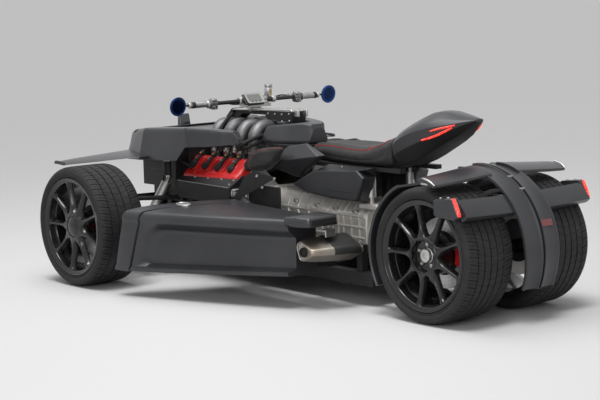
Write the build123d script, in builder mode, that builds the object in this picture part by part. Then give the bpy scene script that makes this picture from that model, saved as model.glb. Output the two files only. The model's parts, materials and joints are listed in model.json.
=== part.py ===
from build123d import *
import os
from math import cos, hypot, radians, sin, sqrt

# Whole vehicle: X forward, Y left, Z up, ground at zero, origin below the middle of its length
wheelbase = 2160.0
bead_radius = 254.0
section_height = 76.0
tyre_radius = bead_radius + section_height
fender_gap = 56.0
fender_wall = 12.0
seam_rise = 10.0
fender_radius = tyre_radius + fender_gap
rear_overhang = fender_radius + fender_wall + seam_rise
front_overhang = 352.0
rear_axle_x = rear_overhang - (rear_overhang + wheelbase + front_overhang) / 2
front_axle_x = rear_axle_x + wheelbase
axle_z = tyre_radius
flange_height = 17.5
flange_radius = bead_radius + flange_height
running_gap = 0.3

# One row per axle: place along X, outer face of the left tyre, tyre width, hub radius
axles = {
    "front": {"x": front_axle_x, "outer_y": 1005.0, "width": 285.0, "hub_radius": 78.0},
    "rear": {"x": rear_axle_x, "outer_y": 420.0, "width": 305.0, "hub_radius": 98.0},
}
sides = {"left": 1, "right": -1}

# Wheel sizes measured inwards from the outer face of the tyre
shoulder_drop = 0.42 * section_height
shoulder_width = 28.0
flange_inset = 8.0
flange_thickness = 8.0
barrel_wall = 10.0
spoke_count = 9
spoke_inset = 22.0
spoke_thickness = 26.0
spoke_root_half = 13.0
spoke_tip_half = 19.0
hub_inset = 125.0
cap_rise = 14.0
spindle_radius = 30.0
spindle_end_inset = 74.0
caliper_outer_radius = bead_radius - barrel_wall - 39.0
disc_radius = caliper_outer_radius - 33.0
disc_outer_inset = 150.0
disc_thickness = 28.0
hat_radius = 80.0
hat_wall = 14.0
caliper_gap = 5.0
caliper_leg = 15.0
caliper_inner_radius = 105.0
caliper_span = 44.0
carrier_thickness = 17.0
disc_inner_inset = disc_outer_inset + disc_thickness
caliper_outer_inset = disc_outer_inset - caliper_gap - caliper_leg
caliper_inner_inset = disc_inner_inset + caliper_gap + caliper_leg
carrier_inset = caliper_inner_inset + carrier_thickness

pieces = {}


def radial_plane(x, angle):
    # half plane through a wheel axis, drawn as (Y, radius), at an angle from +X towards +Z
    turn = radians(angle)
    return Plane(origin=(x, 0, axle_z), x_dir=(0, 1, 0), z_dir=(sin(turn), 0, -cos(turn)))


def wheel_axis(x):
    return Axis((x, 0, axle_z), (0, 1, 0))


def rod_plane(start, end):
    way = Vector(*end) - Vector(*start)
    return Plane(origin=start, z_dir=way)


def rod_length(start, end):
    return (Vector(*end) - Vector(*start)).length


# Tyres, rims and brake discs
for axle_name, axle in axles.items():
    for side_name, side in sides.items():
        x = axle["x"]
        outer = axle["outer_y"]
        inner = outer - axle["width"]
        hub = axle["hub_radius"]
        rim_out = outer - flange_inset
        rim_in = inner + flange_inset
        bead_out = rim_out - flange_thickness
        bead_in = rim_in + flange_thickness
        spoke_face = outer - spoke_inset
        hub_in = outer - hub_inset
        disc_out = outer - disc_outer_inset
        disc_in = outer - disc_inner_inset

        with BuildPart() as tyre:
            with BuildSketch(radial_plane(x, 90)):
                Polygon(
                    (side * (bead_in + running_gap), bead_radius + running_gap),
                    (side * (bead_in + running_gap), flange_radius + 2),
                    (side * inner, tyre_radius - shoulder_drop),
                    (side * (inner + shoulder_width), tyre_radius),
                    (side * (outer - shoulder_width), tyre_radius),
                    (side * outer, tyre_radius - shoulder_drop),
                    (side * (bead_out - running_gap), flange_radius + 2),
                    (side * (bead_out - running_gap), bead_radius + running_gap),
                )
            revolve(axis=wheel_axis(x))
        pieces["tyre_" + axle_name + "_" + side_name] = tyre

        with BuildPart() as rim:
            with BuildSketch(radial_plane(x, 90)):
                Polygon(
                    (side * rim_in, bead_radius - barrel_wall),
                    (side * rim_in, flange_radius),
                    (side * bead_in, flange_radius),
                    (side * bead_in, bead_radius),
                    (side * bead_out, bead_radius),
                    (side * bead_out, flange_radius),
                    (side * rim_out, flange_radius),
                    (side * rim_out, bead_radius - barrel_wall),
                )
                if axle_name == "front":
                    Polygon(
                        (side * hub_in, spindle_radius + running_gap),
                        (side * hub_in, hub),
                        (side * spoke_face, hub),
                        (side * (spoke_face + cap_rise), hub * 0.5),
                        (side * (spoke_face + cap_rise), 0),
                        (side * (outer - spindle_end_inset + 8), 0),
                        (side * (outer - spindle_end_inset + 8), spindle_radius + running_gap),
                    )
                else:
                    Polygon(
                        (side * hub_in, spindle_radius + running_gap),
                        (side * hub_in, hub),
                        (side * spoke_face, hub),
                        (side * spoke_face, hub - 14),
                        (side * (spoke_face - spoke_thickness), hub - 24),
                        (side * (spoke_face - spoke_thickness), spindle_radius + running_gap),
                    )
            revolve(axis=wheel_axis(x))
            spoke_plane = Plane(origin=(x, side * spoke_face, axle_z), x_dir=(1, 0, 0), z_dir=(0, -1, 0))
            with BuildSketch(spoke_plane):
                with PolarLocations(0, spoke_count):
                    Polygon(
                        (hub - 6, -spoke_root_half),
                        (bead_radius - barrel_wall + 4, -spoke_tip_half),
                        (bead_radius - barrel_wall + 4, spoke_tip_half),
                        (hub - 6, spoke_root_half),
                    )
            extrude(amount=side * spoke_thickness)
        pieces["rim_" + axle_name + "_" + side_name] = rim

        with BuildPart() as disc:
            with BuildSketch(radial_plane(x, 90)):
                Polygon(
                    (side * disc_in, hat_radius - hat_wall),
                    (side * disc_in, disc_radius),
                    (side * disc_out, disc_radius),
                    (side * disc_out, hat_radius),
                    (side * hub_in, hat_radius),
                    (side * hub_in, hat_radius - hat_wall),
                )
            revolve(axis=wheel_axis(x))
        pieces["disc_" + axle_name + "_" + side_name] = disc


def caliper_points(outer, side):
    # closed U over the disc, as (Y, radius)
    far = side * (outer - caliper_outer_inset)
    near = side * (outer - caliper_inner_inset)
    slot_far = side * (outer - disc_outer_inset + caliper_gap)
    slot_near = side * (outer - disc_inner_inset - caliper_gap)
    slot_top = disc_radius + caliper_gap + 1
    return (
        (near, caliper_inner_radius),
        (near, caliper_outer_radius),
        (far, caliper_outer_radius),
        (far, caliper_inner_radius),
        (slot_far, caliper_inner_radius),
        (slot_far, slot_top),
        (slot_near, slot_top),
        (slot_near, caliper_inner_radius),
    )


# Front suspension and steering
front_outer = axles["front"]["outer_y"]
post_depth = 55.0
carrier_y = front_outer - carrier_inset
kingpin_y = carrier_y - post_depth / 2
kingpin_radius = 10.0
post_half_height = 112.0
post_half_width = 32.0
eye_radius = 24.0
eye_height = 32.0
arm_reach = 105.0
arm_top_z = axle_z - 34.0
arm_thickness = 16.0
tower_y = 300.0
sleeve_radius = 20.0
sleeve_length = 56.0
wishbone_radius = 13.0
crossbar_y = 540.0
crossbar_height = 24.0

for side_name, side in sides.items():
    with BuildPart() as knuckle:
        with Locations((front_axle_x, side * kingpin_y, axle_z)):
            Box(2 * post_half_width, post_depth, 2 * post_half_height)
            Cylinder(kingpin_radius, 2 * (post_half_height + running_gap + eye_height))
        carrier_mid = side * (carrier_y + carrier_thickness / 2)
        carrier_length = caliper_outer_radius - 15
        with Locations((front_axle_x - carrier_length / 2, carrier_mid, axle_z)):
            Box(carrier_length, carrier_thickness, 2 * post_half_width)
        with BuildSketch(radial_plane(front_axle_x, 90)):
            Polygon(
                (side * (carrier_y - 5), 0),
                (side * (carrier_y - 5), spindle_radius + 18),
                (side * (carrier_y + carrier_thickness), spindle_radius + 18),
                (side * (carrier_y + carrier_thickness), spindle_radius),
                (side * (front_outer - spindle_end_inset), spindle_radius),
                (side * (front_outer - spindle_end_inset), 0),
            )
        revolve(axis=wheel_axis(front_axle_x))
        with BuildSketch(Plane.XY.offset(arm_top_z - arm_thickness)):
            with Locations((front_axle_x, side * kingpin_y)):
                Polygon((20, -22), (arm_reach, -15), (arm_reach, 15), (20, 22))
            with Locations((front_axle_x + arm_reach, side * kingpin_y)):
                Circle(18)
        extrude(amount=arm_thickness)
    pieces["knuckle_" + side_name] = knuckle

    with BuildPart() as caliper:
        with BuildSketch(radial_plane(front_axle_x, 180 + caliper_span / 2)):
            Polygon(*caliper_points(front_outer, side))
        revolve(axis=wheel_axis(front_axle_x), revolution_arc=caliper_span)
    pieces["caliper_front_" + side_name] = caliper

# One row per wishbone: centre of the eye above the axle, height of the inner pivots, half base
eye_middle = post_half_height + running_gap + eye_height / 2
wishbones = (
    {"eye": eye_middle, "inner_z": axle_z + 105.0, "half_base": 110.0},
    {"eye": -eye_middle, "inner_z": axle_z - 145.0, "half_base": 135.0},
)
lower = wishbones[1]
crossbar_share = (kingpin_y - crossbar_y) / (kingpin_y - tower_y - sleeve_radius)
crossbar_half = lower["half_base"] * crossbar_share
crossbar_z = axle_z + lower["eye"] + (lower["inner_z"] - axle_z - lower["eye"]) * crossbar_share

with BuildPart() as front_wishbones:
    for wishbone in wishbones:
        eye_z = axle_z + wishbone["eye"]
        with Locations((front_axle_x, kingpin_y, eye_z)):
            Cylinder(eye_radius, eye_height)
        for way in (1, -1):
            pivot = (front_axle_x + way * wishbone["half_base"], tower_y + sleeve_radius, wishbone["inner_z"])
            tip = (front_axle_x + way * 8, kingpin_y - 14, eye_z)
            with BuildSketch(rod_plane(pivot, tip)):
                Circle(wishbone_radius)
            extrude(amount=rod_length(pivot, tip))
            with Locations(Location(pivot, (0, 90, 0))):
                Cylinder(sleeve_radius - running_gap, sleeve_length)
        with Locations((front_axle_x, kingpin_y, eye_z)):
            Cylinder(kingpin_radius + running_gap, 3 * eye_height, mode=Mode.SUBTRACT)
    with Locations((front_axle_x, crossbar_y, crossbar_z)):
        Box(2 * crossbar_half, 40, crossbar_height)
    mirror(about=Plane.XZ)
pieces["front_wishbones"] = front_wishbones

rack_radius = 14.0
rack_housing_radius = 28.0
rack_housing_half = 190.0
rod_end_gap = 1.0
rack_z = arm_top_z + rod_end_gap + rack_radius + 2
rack_x = front_axle_x + arm_reach
rod_end_y = kingpin_y
with BuildPart() as steering_rack:
    with Locations(Location((rack_x, 0, rack_z), (90, 0, 0))):
        Cylinder(rack_radius, 2 * rod_end_y)
    with Locations((rack_x, rod_end_y, rack_z), (rack_x, -rod_end_y, rack_z)):
        Cylinder(19, 2 * rack_radius + 4)
pieces["steering_rack"] = steering_rack

# Chassis: rails, floor, towers for the front suspension, hoop for the front panels
rail_inner_y = 230.0
rail_outer_y = 290.0
rail_top_z = 170.0
floor_z = 104.0
floor_thickness = 6.0
rail_z = floor_z + floor_thickness
frame_rear_x = rear_axle_x + 480.0
frame_front_x = front_axle_x + 190.0
frame_length = frame_front_x - frame_rear_x
frame_mid_x = (frame_front_x + frame_rear_x) / 2
rail_width = rail_outer_y - rail_inner_y
rail_mid_y = (rail_outer_y + rail_inner_y) / 2
rail_height = rail_top_z - rail_z
tower_half = 190.0
tower_top_z = 600.0
tower_wall = 38.0
deck_z = 800.0
deck_thickness = 6.0
cowl_top_z = 842.0
cowl_wall = 6.0
hoop_x = front_axle_x - 130.0
hoop_depth = 40.0
hoop_y = 345.0
hoop_width = 40.0
pod_inner_y = 450.0
pod_rear_x = rear_axle_x + 735.0
pod_front_x = front_axle_x - 407.0
pod_run = pod_front_x - pod_rear_x
pod_mounts = (pod_rear_x + 0.113 * pod_run, pod_rear_x + 0.65 * pod_run)
silencer_x = rear_axle_x + 660.0
silencer_inner_y = 330.0
silencer_z = 290.0
silencer_lug_x = silencer_x - 60.0
engine_rear_x = front_axle_x - 710.0
engine_front_x = front_axle_x - 200.0
engine_side_y = 200.0
engine_mounts = (engine_rear_x + 110.0, engine_front_x - 90.0)
mudguard_gap = 18.0
mudguard_radius = tyre_radius + mudguard_gap
mudguard_wall = 12.0
mudguard_outer = mudguard_radius + mudguard_wall
mudguard_lug_x = rear_axle_x + sqrt(mudguard_outer**2 - (axle_z - rail_top_z) ** 2) + running_gap
jack_pad_height = 8.0
jack_pads = (rear_axle_x + 700.0, front_axle_x - 260.0)
radiator_x = front_axle_x + 160.0
radiator_depth = 50.0

with BuildPart() as chassis_frame:
    with Locations((frame_mid_x, 0, floor_z + floor_thickness / 2)):
        Box(frame_length, 2 * rail_outer_y, floor_thickness)
    for side in sides.values():
        with Locations((frame_mid_x, side * rail_mid_y, rail_z + rail_height / 2)):
            Box(frame_length, rail_width, rail_height)
        tower_y_mid = side * (tower_y - tower_wall / 2)
        with Locations((front_axle_x, tower_y_mid, (tower_top_z + rail_z) / 2)):
            Box(2 * tower_half, tower_wall, tower_top_z - rail_z)
        with Locations((front_axle_x, tower_y_mid, axle_z + 10)):
            Box(1.2 * tower_half, 2 * tower_wall, 130, mode=Mode.SUBTRACT)
        hoop_mid_y = side * (hoop_y + hoop_width / 2)
        pad_z = cowl_top_z - cowl_wall
        with Locations((hoop_x, hoop_mid_y, (tower_top_z - 60 + pad_z) / 2)):
            Box(hoop_depth, hoop_width, pad_z - tower_top_z + 60)
        with Locations((hoop_x, side * (tower_y + hoop_y) / 2, tower_top_z - 40)):
            Box(hoop_depth, hoop_y - tower_y + 20, 40)
        for x in pod_mounts:
            with Locations((x, side * (rail_outer_y + pod_inner_y) / 2, rail_top_z + 20)):
                Box(50, pod_inner_y - rail_outer_y, 26)
            with Locations((x, side * (rail_mid_y), rail_top_z + 16)):
                Box(50, rail_width, 34)
        for x in engine_mounts:
            with Locations((x, side * (engine_side_y + rail_inner_y) / 2, rail_top_z + 40)):
                Box(60, rail_inner_y - engine_side_y, 60)
            with Locations((x, side * rail_mid_y, rail_top_z + 34)):
                Box(60, rail_width, 72)
        with Locations((silencer_lug_x, side * (rail_inner_y + silencer_inner_y) / 2, silencer_z)):
            Box(40, silencer_inner_y - rail_inner_y, 30)
        with Locations((silencer_lug_x, side * (rail_inner_y + 20), (rail_top_z + silencer_z) / 2)):
            Box(40, 40, silencer_z - rail_top_z + 30)
        lug_length = frame_rear_x - mudguard_lug_x
        with Locations((frame_rear_x - lug_length / 2, side * rail_mid_y, rail_top_z - 15)):
            Box(lug_length, rail_width - 20, 30)
        for x in jack_pads:
            with Locations((x, side * rail_mid_y, floor_z - jack_pad_height / 2)):
                Box(80, rail_width, jack_pad_height)
    for x in (frame_rear_x + 20, frame_rear_x + 430, front_axle_x - 165, frame_front_x - 20):
        with Locations((x, 0, rail_z + rail_height / 2)):
            Box(40, 2 * rail_inner_y, rail_height)
    with Locations((frame_rear_x + 20, 0, (rail_top_z + axle_z + 40) / 2)):
        Box(40, 220, axle_z + 40 - rail_top_z)
    with Locations((frame_rear_x + 20, 0, axle_z)):
        Box(60, 110, 110, mode=Mode.SUBTRACT)
    with Locations((hoop_x, 0, deck_z - deck_thickness - 15)):
        Box(hoop_depth, 2 * hoop_y, 30)
    with Locations(Location((rack_x, 0, rack_z), (90, 0, 0))):
        Cylinder(rack_housing_radius, 2 * tower_y)
        Cylinder(rack_radius + running_gap, 4 * tower_y, mode=Mode.SUBTRACT)
    with Locations((radiator_x, 0, rail_top_z + 8)):
        Box(radiator_depth, 2 * rail_mid_y, 24)
pieces["chassis_frame"] = chassis_frame

# Tow eye on the front cross member
tow_eye_radius = 12.0
tow_eye_thickness = 14.0
tow_eye_reach = 95.0
tow_eye_z = rail_z + 20.0
with BuildPart() as tow_eye:
    with BuildSketch(Plane.XY.offset(tow_eye_z)):
        with Locations((frame_front_x + tow_eye_reach, 0)):
            Circle(30)
        with Locations((frame_front_x + tow_eye_reach / 2, 0)):
            Rectangle(tow_eye_reach, 60)
        with Locations((frame_front_x + tow_eye_reach, 0)):
            Circle(tow_eye_radius, mode=Mode.SUBTRACT)
    extrude(amount=tow_eye_thickness)
pieces["tow_eye"] = tow_eye

# Engine: block with two banks at right angles, cam covers, coils, intake, heat shields
crank_z = 300.0
bank_half = 95.0
head_height = 414.0
cover_height = 58.0
cylinder_pitch = 104.0
cylinder_x = [(engine_rear_x + engine_front_x) / 2 + (n - 1.5) * cylinder_pitch for n in range(4)]
slope = sin(radians(45))
sump_z = 140.0


def bank_point(height, offset):
    # point of the left bank in (Y, Z): up along the bank, offset outwards across it
    return (slope * (height + offset), crank_z + slope * (height - offset))


bank_foot = engine_side_y / slope - bank_half
left_half = (
    (140, sump_z),
    (engine_side_y, sump_z + 60),
    bank_point(bank_foot, bank_half),
    bank_point(head_height, bank_half),
    bank_point(head_height, -bank_half),
)
block_outline = left_half + (bank_point(bank_half, -bank_half),)
block_outline = block_outline + tuple((-y, z) for y, z in reversed(left_half))
with BuildPart() as engine_block:
    with BuildSketch(Plane.YZ.offset(engine_rear_x)):
        Polygon(*block_outline)
    extrude(amount=engine_front_x - engine_rear_x)
pieces["engine_block"] = engine_block

cover_inset = 24.0
cover_length = engine_front_x - engine_rear_x - 2 * cover_inset
cover_mid_x = (engine_front_x + engine_rear_x) / 2
cover_y, cover_z = bank_point(head_height, 0)
cover_plane = Plane(origin=(cover_mid_x, cover_y, cover_z), x_dir=(1, 0, 0), z_dir=(0, 1, 1))
with BuildPart() as cam_covers:
    with BuildSketch(cover_plane):
        Rectangle(cover_length, 2 * bank_half)
    extrude(amount=cover_height * 0.4)
    with BuildSketch(cover_plane.offset(cover_height * 0.4)):
        with Locations((0, bank_half * 0.52), (0, -bank_half * 0.52)):
            RectangleRounded(cover_length - 20, bank_half * 0.8, 20)
        Rectangle(cover_length - 60, bank_half * 0.5)
    extrude(amount=cover_height * 0.6, taper=8)
    mirror(about=Plane.XZ)
pieces["cam_covers"] = cam_covers

coil_height = 24.0
with BuildPart() as ignition_coils:
    with BuildSketch(cover_plane.offset(cover_height)):
        for x in cylinder_x:
            with Locations((x - cover_mid_x, 0)):
                RectangleRounded(38, 30, 9)
    extrude(amount=coil_height)
    mirror(about=Plane.XZ)
pieces["ignition_coils"] = ignition_coils

runner_radius = 28.0
runner_y = 150.0
plenum_half = 66.0
plenum_top_z = 866.0
plenum_z = 740.0
rail_depth = 16.0
rail_low = 300.0
rail_high = 392.0
bend_radius = runner_y - plenum_half + 4
bend_z = plenum_top_z - runner_radius - bend_radius
runner_foot_z = 640.0
rail_outline = (
    bank_point(rail_low, -bank_half),
    bank_point(rail_high, -bank_half),
    bank_point(rail_high, -bank_half - rail_depth),
    bank_point(rail_low, -bank_half - rail_depth),
)
with BuildPart() as intake_manifold:
    with BuildSketch(Plane.YZ.offset(cylinder_x[0] - 40)):
        Polygon(*rail_outline)
    extrude(amount=cylinder_x[3] - cylinder_x[0] + 80)
    for x in cylinder_x:
        with BuildLine(Plane.YZ.offset(x)) as runner_path:
            Line((runner_y, runner_foot_z), (runner_y, bend_z))
            RadiusArc((runner_y, bend_z), (runner_y - bend_radius, bend_z + bend_radius), -bend_radius)
        with BuildSketch(Plane.XY.offset(runner_foot_z)):
            with Locations((x, runner_y)):
                Circle(runner_radius)
        sweep(path=runner_path.wires()[0])
    mirror(about=Plane.XZ)
    with BuildSketch(Plane.YZ.offset(cylinder_x[0] - 30)):
        with Locations((0, (plenum_z + plenum_top_z) / 2)):
            RectangleRounded(2 * plenum_half, plenum_top_z - plenum_z, 24)
    extrude(amount=cylinder_x[3] - cylinder_x[0] + 60)
pieces["intake_manifold"] = intake_manifold

shield_top_z = 550.0
shield_low_z = 450.0
shield_outer_y = 446.0
shield_wall = 5.0
bank_line = bank_point(head_height, bank_half)
shield_foot_y = bank_line[0] + shield_low_z - bank_line[1]
shield_edge_y = bank_line[0] + shield_top_z - bank_line[1]
shield_rear_x = engine_rear_x - 10.0
pipe_radius = 26.0
collector_y = 402.0
collector_z = 485.0
with BuildPart() as heat_shields:
    with BuildSketch(Plane.YZ.offset(shield_rear_x)):
        Polygon(
            (shield_edge_y + running_gap, shield_top_z),
            (shield_outer_y, shield_top_z),
            (shield_outer_y, shield_low_z),
            (shield_outer_y - shield_wall, shield_low_z),
            (shield_outer_y - shield_wall, shield_top_z - shield_wall),
            (shield_edge_y + running_gap, shield_top_z - shield_wall),
        )
    extrude(amount=engine_front_x - shield_rear_x)
    for x in (engine_rear_x, engine_front_x - shield_wall):
        with BuildSketch(Plane.YZ.offset(x)):
            Polygon(
                (shield_foot_y + running_gap, shield_low_z),
                (shield_edge_y + running_gap, shield_top_z),
                (shield_outer_y, shield_top_z),
                (shield_outer_y, shield_low_z),
            )
        extrude(amount=shield_wall)
    with Locations(Location((engine_rear_x, collector_y, collector_z), (0, 90, 0))):
        Cylinder(pipe_radius + 5, 60, mode=Mode.SUBTRACT)
    mirror(about=Plane.XZ)
pieces["heat_shields"] = heat_shields

# Gearbox behind the engine, on its centre line
gearbox_z = 360.0
bell_radius = 188.0
bell_end_radius = 140.0
bell_length = 190.0
gearbox_half_width = 125.0
gearbox_top_z = 500.0
gearbox_low_z = 215.0
gearbox_rear_x = rear_axle_x + 700.0
gearbox_front_x = engine_rear_x - bell_length
tail_rear_x = rear_axle_x + 590.0
lug_half_width = 165.0
with BuildPart() as gearbox:
    with BuildSketch(Plane.YZ.offset(engine_rear_x)):
        with Locations((0, gearbox_z)):
            Circle(bell_radius)
    with BuildSketch(Plane.YZ.offset(gearbox_front_x)):
        with Locations((0, gearbox_z)):
            Circle(bell_end_radius)
    loft()
    box_length = gearbox_front_x - gearbox_rear_x
    with BuildSketch(Plane.YZ.offset(gearbox_rear_x)):
        with Locations((0, (gearbox_top_z + gearbox_low_z) / 2)):
            RectangleRounded(2 * gearbox_half_width, gearbox_top_z - gearbox_low_z, 30)
    extrude(amount=box_length + 20)
    for n in range(7):
        with Locations((gearbox_rear_x + (n + 0.5) * box_length / 7, 0, (gearbox_top_z + gearbox_low_z) / 2)):
            Box(10, 2 * gearbox_half_width + 20, gearbox_top_z - gearbox_low_z - 70)
    for z in (gearbox_top_z - 65, gearbox_low_z + 80):
        with Locations(((gearbox_front_x + gearbox_rear_x) / 2, 0, z)):
            Box(box_length - 40, 2 * gearbox_half_width + 14, 12)
    with Locations(Location(((gearbox_rear_x + tail_rear_x) / 2, 0, axle_z), (0, 90, 0))):
        Cylinder(78, gearbox_rear_x - tail_rear_x)
    lug_x = (gearbox_rear_x + tail_rear_x) / 2
    with Locations((lug_x, 0, gearbox_top_z - 15)):
        Box(gearbox_rear_x - tail_rear_x + 30, 2 * lug_half_width, 30)
    with Locations((lug_x, 0, (gearbox_top_z + axle_z) / 2)):
        Box(gearbox_rear_x - tail_rear_x, 40, gearbox_top_z - axle_z)
pieces["gearbox"] = gearbox

# Exhausts: collector under the heat shield, pipe along the floor, silencer with its outlet at the side
pipe_y = 372.0
pipe_low_z = 250.0
silencer_outer_y = 592.0
outlet_radius = 29.0
outlet_depth = 12.0
silencer_section = ((-62, 48), (-30, 78), (75, 28), (80, 0), (-28, -58))
silencer_growth = 1.15
silencer_lean = 75.0
with BuildPart() as exhausts:
    with BuildLine() as pipe_path:
        FilletPolyline(
            (engine_front_x - 60, collector_y, collector_z),
            (engine_rear_x - 90, collector_y, collector_z),
            (engine_rear_x - 200, pipe_y, pipe_low_z),
            (silencer_x + 120, pipe_y, pipe_low_z),
            (silencer_x - silencer_lean / 2, pipe_y, silencer_z),
            radius=50,
        )
    with BuildSketch(Plane.YZ.offset(engine_front_x - 60)):
        with Locations((collector_y, collector_z)):
            Circle(pipe_radius)
    sweep(path=pipe_path.wires()[0])
    silencer_plane = Plane(origin=(silencer_x, silencer_inner_y, silencer_z), x_dir=(-1, 0, 0), z_dir=(0, 1, 0))
    for depth, growth, lean in ((0, silencer_growth, silencer_lean), (silencer_outer_y - silencer_inner_y, 1, 0)):
        with BuildSketch(silencer_plane.offset(depth)) as silencer_face:
            Polygon(*[(u * growth + lean, v * growth) for u, v in silencer_section])
            fillet(silencer_face.vertices(), 12)
    loft(ruled=True)
    with BuildSketch(silencer_plane.offset(silencer_outer_y - silencer_inner_y)) as outlet_face:
        Polygon(*[(u * 0.8 + 2, v * 0.8) for u, v in silencer_section])
        fillet(outlet_face.vertices(), 8)
    extrude(amount=-outlet_depth, mode=Mode.SUBTRACT)
    with Locations(Location((silencer_x + 8, silencer_outer_y - outlet_depth, silencer_z + 8), (90, 0, 0))):
        Cylinder(outlet_radius, 120, mode=Mode.SUBTRACT)
    mirror(about=Plane.XZ)
pieces["exhausts"] = exhausts

# Rear axle with torque tube, spindles, carriers for the calipers and stay for the fender
rear_outer = axles["rear"]["outer_y"]
rear_carrier_y = rear_outer - carrier_inset
with BuildPart() as rear_axle:
    with BuildSketch(radial_plane(rear_axle_x, 90)):
        Polygon(
            (0, 0),
            (0, 110),
            (60, 110),
            (90, 80),
            (90, 42),
            (rear_carrier_y - 6, 42),
            (rear_carrier_y - 6, spindle_radius + 18),
            (rear_carrier_y + carrier_thickness, spindle_radius + 18),
            (rear_carrier_y + carrier_thickness, spindle_radius),
            (rear_outer - spindle_end_inset + 12, spindle_radius),
            (rear_outer - spindle_end_inset + 12, 0),
        )
    revolve(axis=wheel_axis(rear_axle_x))
    carrier_length = caliper_outer_radius - 15
    with Locations((rear_axle_x - carrier_length / 2, rear_carrier_y + carrier_thickness / 2, axle_z)):
        Box(carrier_length, carrier_thickness, 2 * post_half_width)
    mirror(about=Plane.XZ)
    with BuildSketch(radial_plane(rear_axle_x, 165)):
        Polygon((-22, 90), (-22, fender_radius - running_gap), (22, fender_radius - running_gap), (22, 90))
    revolve(axis=wheel_axis(rear_axle_x), revolution_arc=14)
    tube_end_x = tail_rear_x
    with Locations(Location(((rear_axle_x + tube_end_x) / 2, 0, axle_z), (0, 90, 0))):
        Cylinder(48, tube_end_x - rear_axle_x)
    for side in sides.values():
        with Locations(((rear_axle_x + frame_rear_x) / 2, side * 75, axle_z)):
            Box(frame_rear_x - rear_axle_x, 30, 50)
pieces["rear_axle"] = rear_axle

with BuildPart() as rear_calipers:
    with BuildSketch(radial_plane(rear_axle_x, 180 + caliper_span / 2)):
        Polygon(*caliper_points(rear_outer, 1))
    revolve(axis=wheel_axis(rear_axle_x), revolution_arc=caliper_span)
    mirror(about=Plane.XZ)
pieces["rear_calipers"] = rear_calipers

# Seat frame standing on the gearbox
seat_rail_inner = 105.0
seat_rail_outer = 145.0
seat_rail_z = 668.0
seat_base_z = 690.0
seat_rail_rear = rear_axle_x + 420.0
tray_z = 762.0
tray_thickness = 10.0
tray_lip = 20.0
tray_half = seat_rail_outer + tray_lip
tray_rear = front_axle_x - 966.0
tray_front = front_axle_x - 655.0
tray_lap = 46.0
seat_rail_front = tray_rear + tray_lap
seat_rail_run = seat_rail_front - seat_rail_rear
with BuildPart() as seat_frame:
    for side in sides.values():
        rail_x = (seat_rail_rear + seat_rail_front) / 2
        rail_y = side * (seat_rail_inner + seat_rail_outer) / 2
        with Locations((rail_x, rail_y, (seat_rail_z + seat_base_z) / 2)):
            Box(seat_rail_front - seat_rail_rear, seat_rail_outer - seat_rail_inner, seat_base_z - seat_rail_z)
        with Locations((seat_rail_front - 20, rail_y, (seat_rail_z + tray_z - tray_thickness) / 2)):
            Box(40, seat_rail_outer - seat_rail_inner, tray_z - tray_thickness - seat_rail_z)
        for x in (gearbox_rear_x + 60, gearbox_front_x - 40):
            with Locations((x, side * 75, (gearbox_top_z + seat_base_z) / 2)):
                Box(40, 30, seat_base_z - gearbox_top_z)
            with Locations((x, side * (60 + seat_rail_outer) / 2, (seat_rail_z + seat_base_z) / 2)):
                Box(40, seat_rail_outer - 60, seat_base_z - seat_rail_z)
    for x in (gearbox_rear_x - 100, gearbox_rear_x + 60, gearbox_front_x - 40):
        with Locations((x, 0, (seat_rail_z + seat_base_z) / 2)):
            Box(40, 2 * seat_rail_inner, seat_base_z - seat_rail_z)
    with Locations(((tray_rear + tray_front) / 2, 0, tray_z - tray_thickness / 2)):
        Box(tray_front - tray_rear, 2 * tray_half, tray_thickness)
pieces["seat_frame"] = seat_frame

# Shock absorbers: sloping pair at the front, upright pair at the rear
shock_radius = 30.0
shock_eye_radius = 18.0
front_shock_low = (front_axle_x, crossbar_y, crossbar_z + crossbar_height / 2 + shock_eye_radius + running_gap)
front_shock_top = (front_axle_x, tower_y + shock_eye_radius + running_gap, tower_top_z - 50)
rear_shock_x = (gearbox_rear_x + tail_rear_x) / 2
rear_shock_y = 137.0
rear_shock_radius = 24.0
with BuildPart() as shock_absorbers:
    way = (Vector(*front_shock_top) - Vector(*front_shock_low)).normalized()
    spring_start = Vector(*front_shock_low) + way * 60
    spring_end = Vector(*front_shock_top) - way * 50
    with BuildSketch(rod_plane(front_shock_low, front_shock_top)):
        Circle(12)
    extrude(amount=rod_length(front_shock_low, front_shock_top))
    with BuildSketch(rod_plane(spring_start, spring_end)):
        Circle(shock_radius)
    extrude(amount=rod_length(spring_start, spring_end))
    for point in (front_shock_low, front_shock_top):
        with Locations(Location(point, (0, 90, 0))):
            Cylinder(shock_eye_radius, 34)
    shock_height = seat_rail_z - gearbox_top_z
    with Locations((rear_shock_x, rear_shock_y, gearbox_top_z + shock_height / 2)):
        Cylinder(12, shock_height)
        Cylinder(rear_shock_radius, shock_height * 0.62)
    mirror(about=Plane.XZ)
pieces["shock_absorbers"] = shock_absorbers

# Radiator between the front towers
radiator_low_z = rail_top_z + 20.0
radiator_top_z = 560.0
with BuildPart() as radiator:
    with Locations((radiator_x, 0, (radiator_low_z + radiator_top_z) / 2)):
        Box(radiator_depth, 2 * rail_inner_y - 20, radiator_top_z - radiator_low_z)
    with Locations((radiator_x + radiator_depth / 2, 0, (radiator_low_z + radiator_top_z) / 2)):
        Box(20, 2 * rail_inner_y - 60, radiator_top_z - radiator_low_z - 40, mode=Mode.SUBTRACT)
    with Locations(Location((rack_x, 0, rack_z), (90, 0, 0))):
        Cylinder(rack_housing_radius + 6, 4 * tower_y, mode=Mode.SUBTRACT)
pieces["radiator"] = radiator

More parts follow.
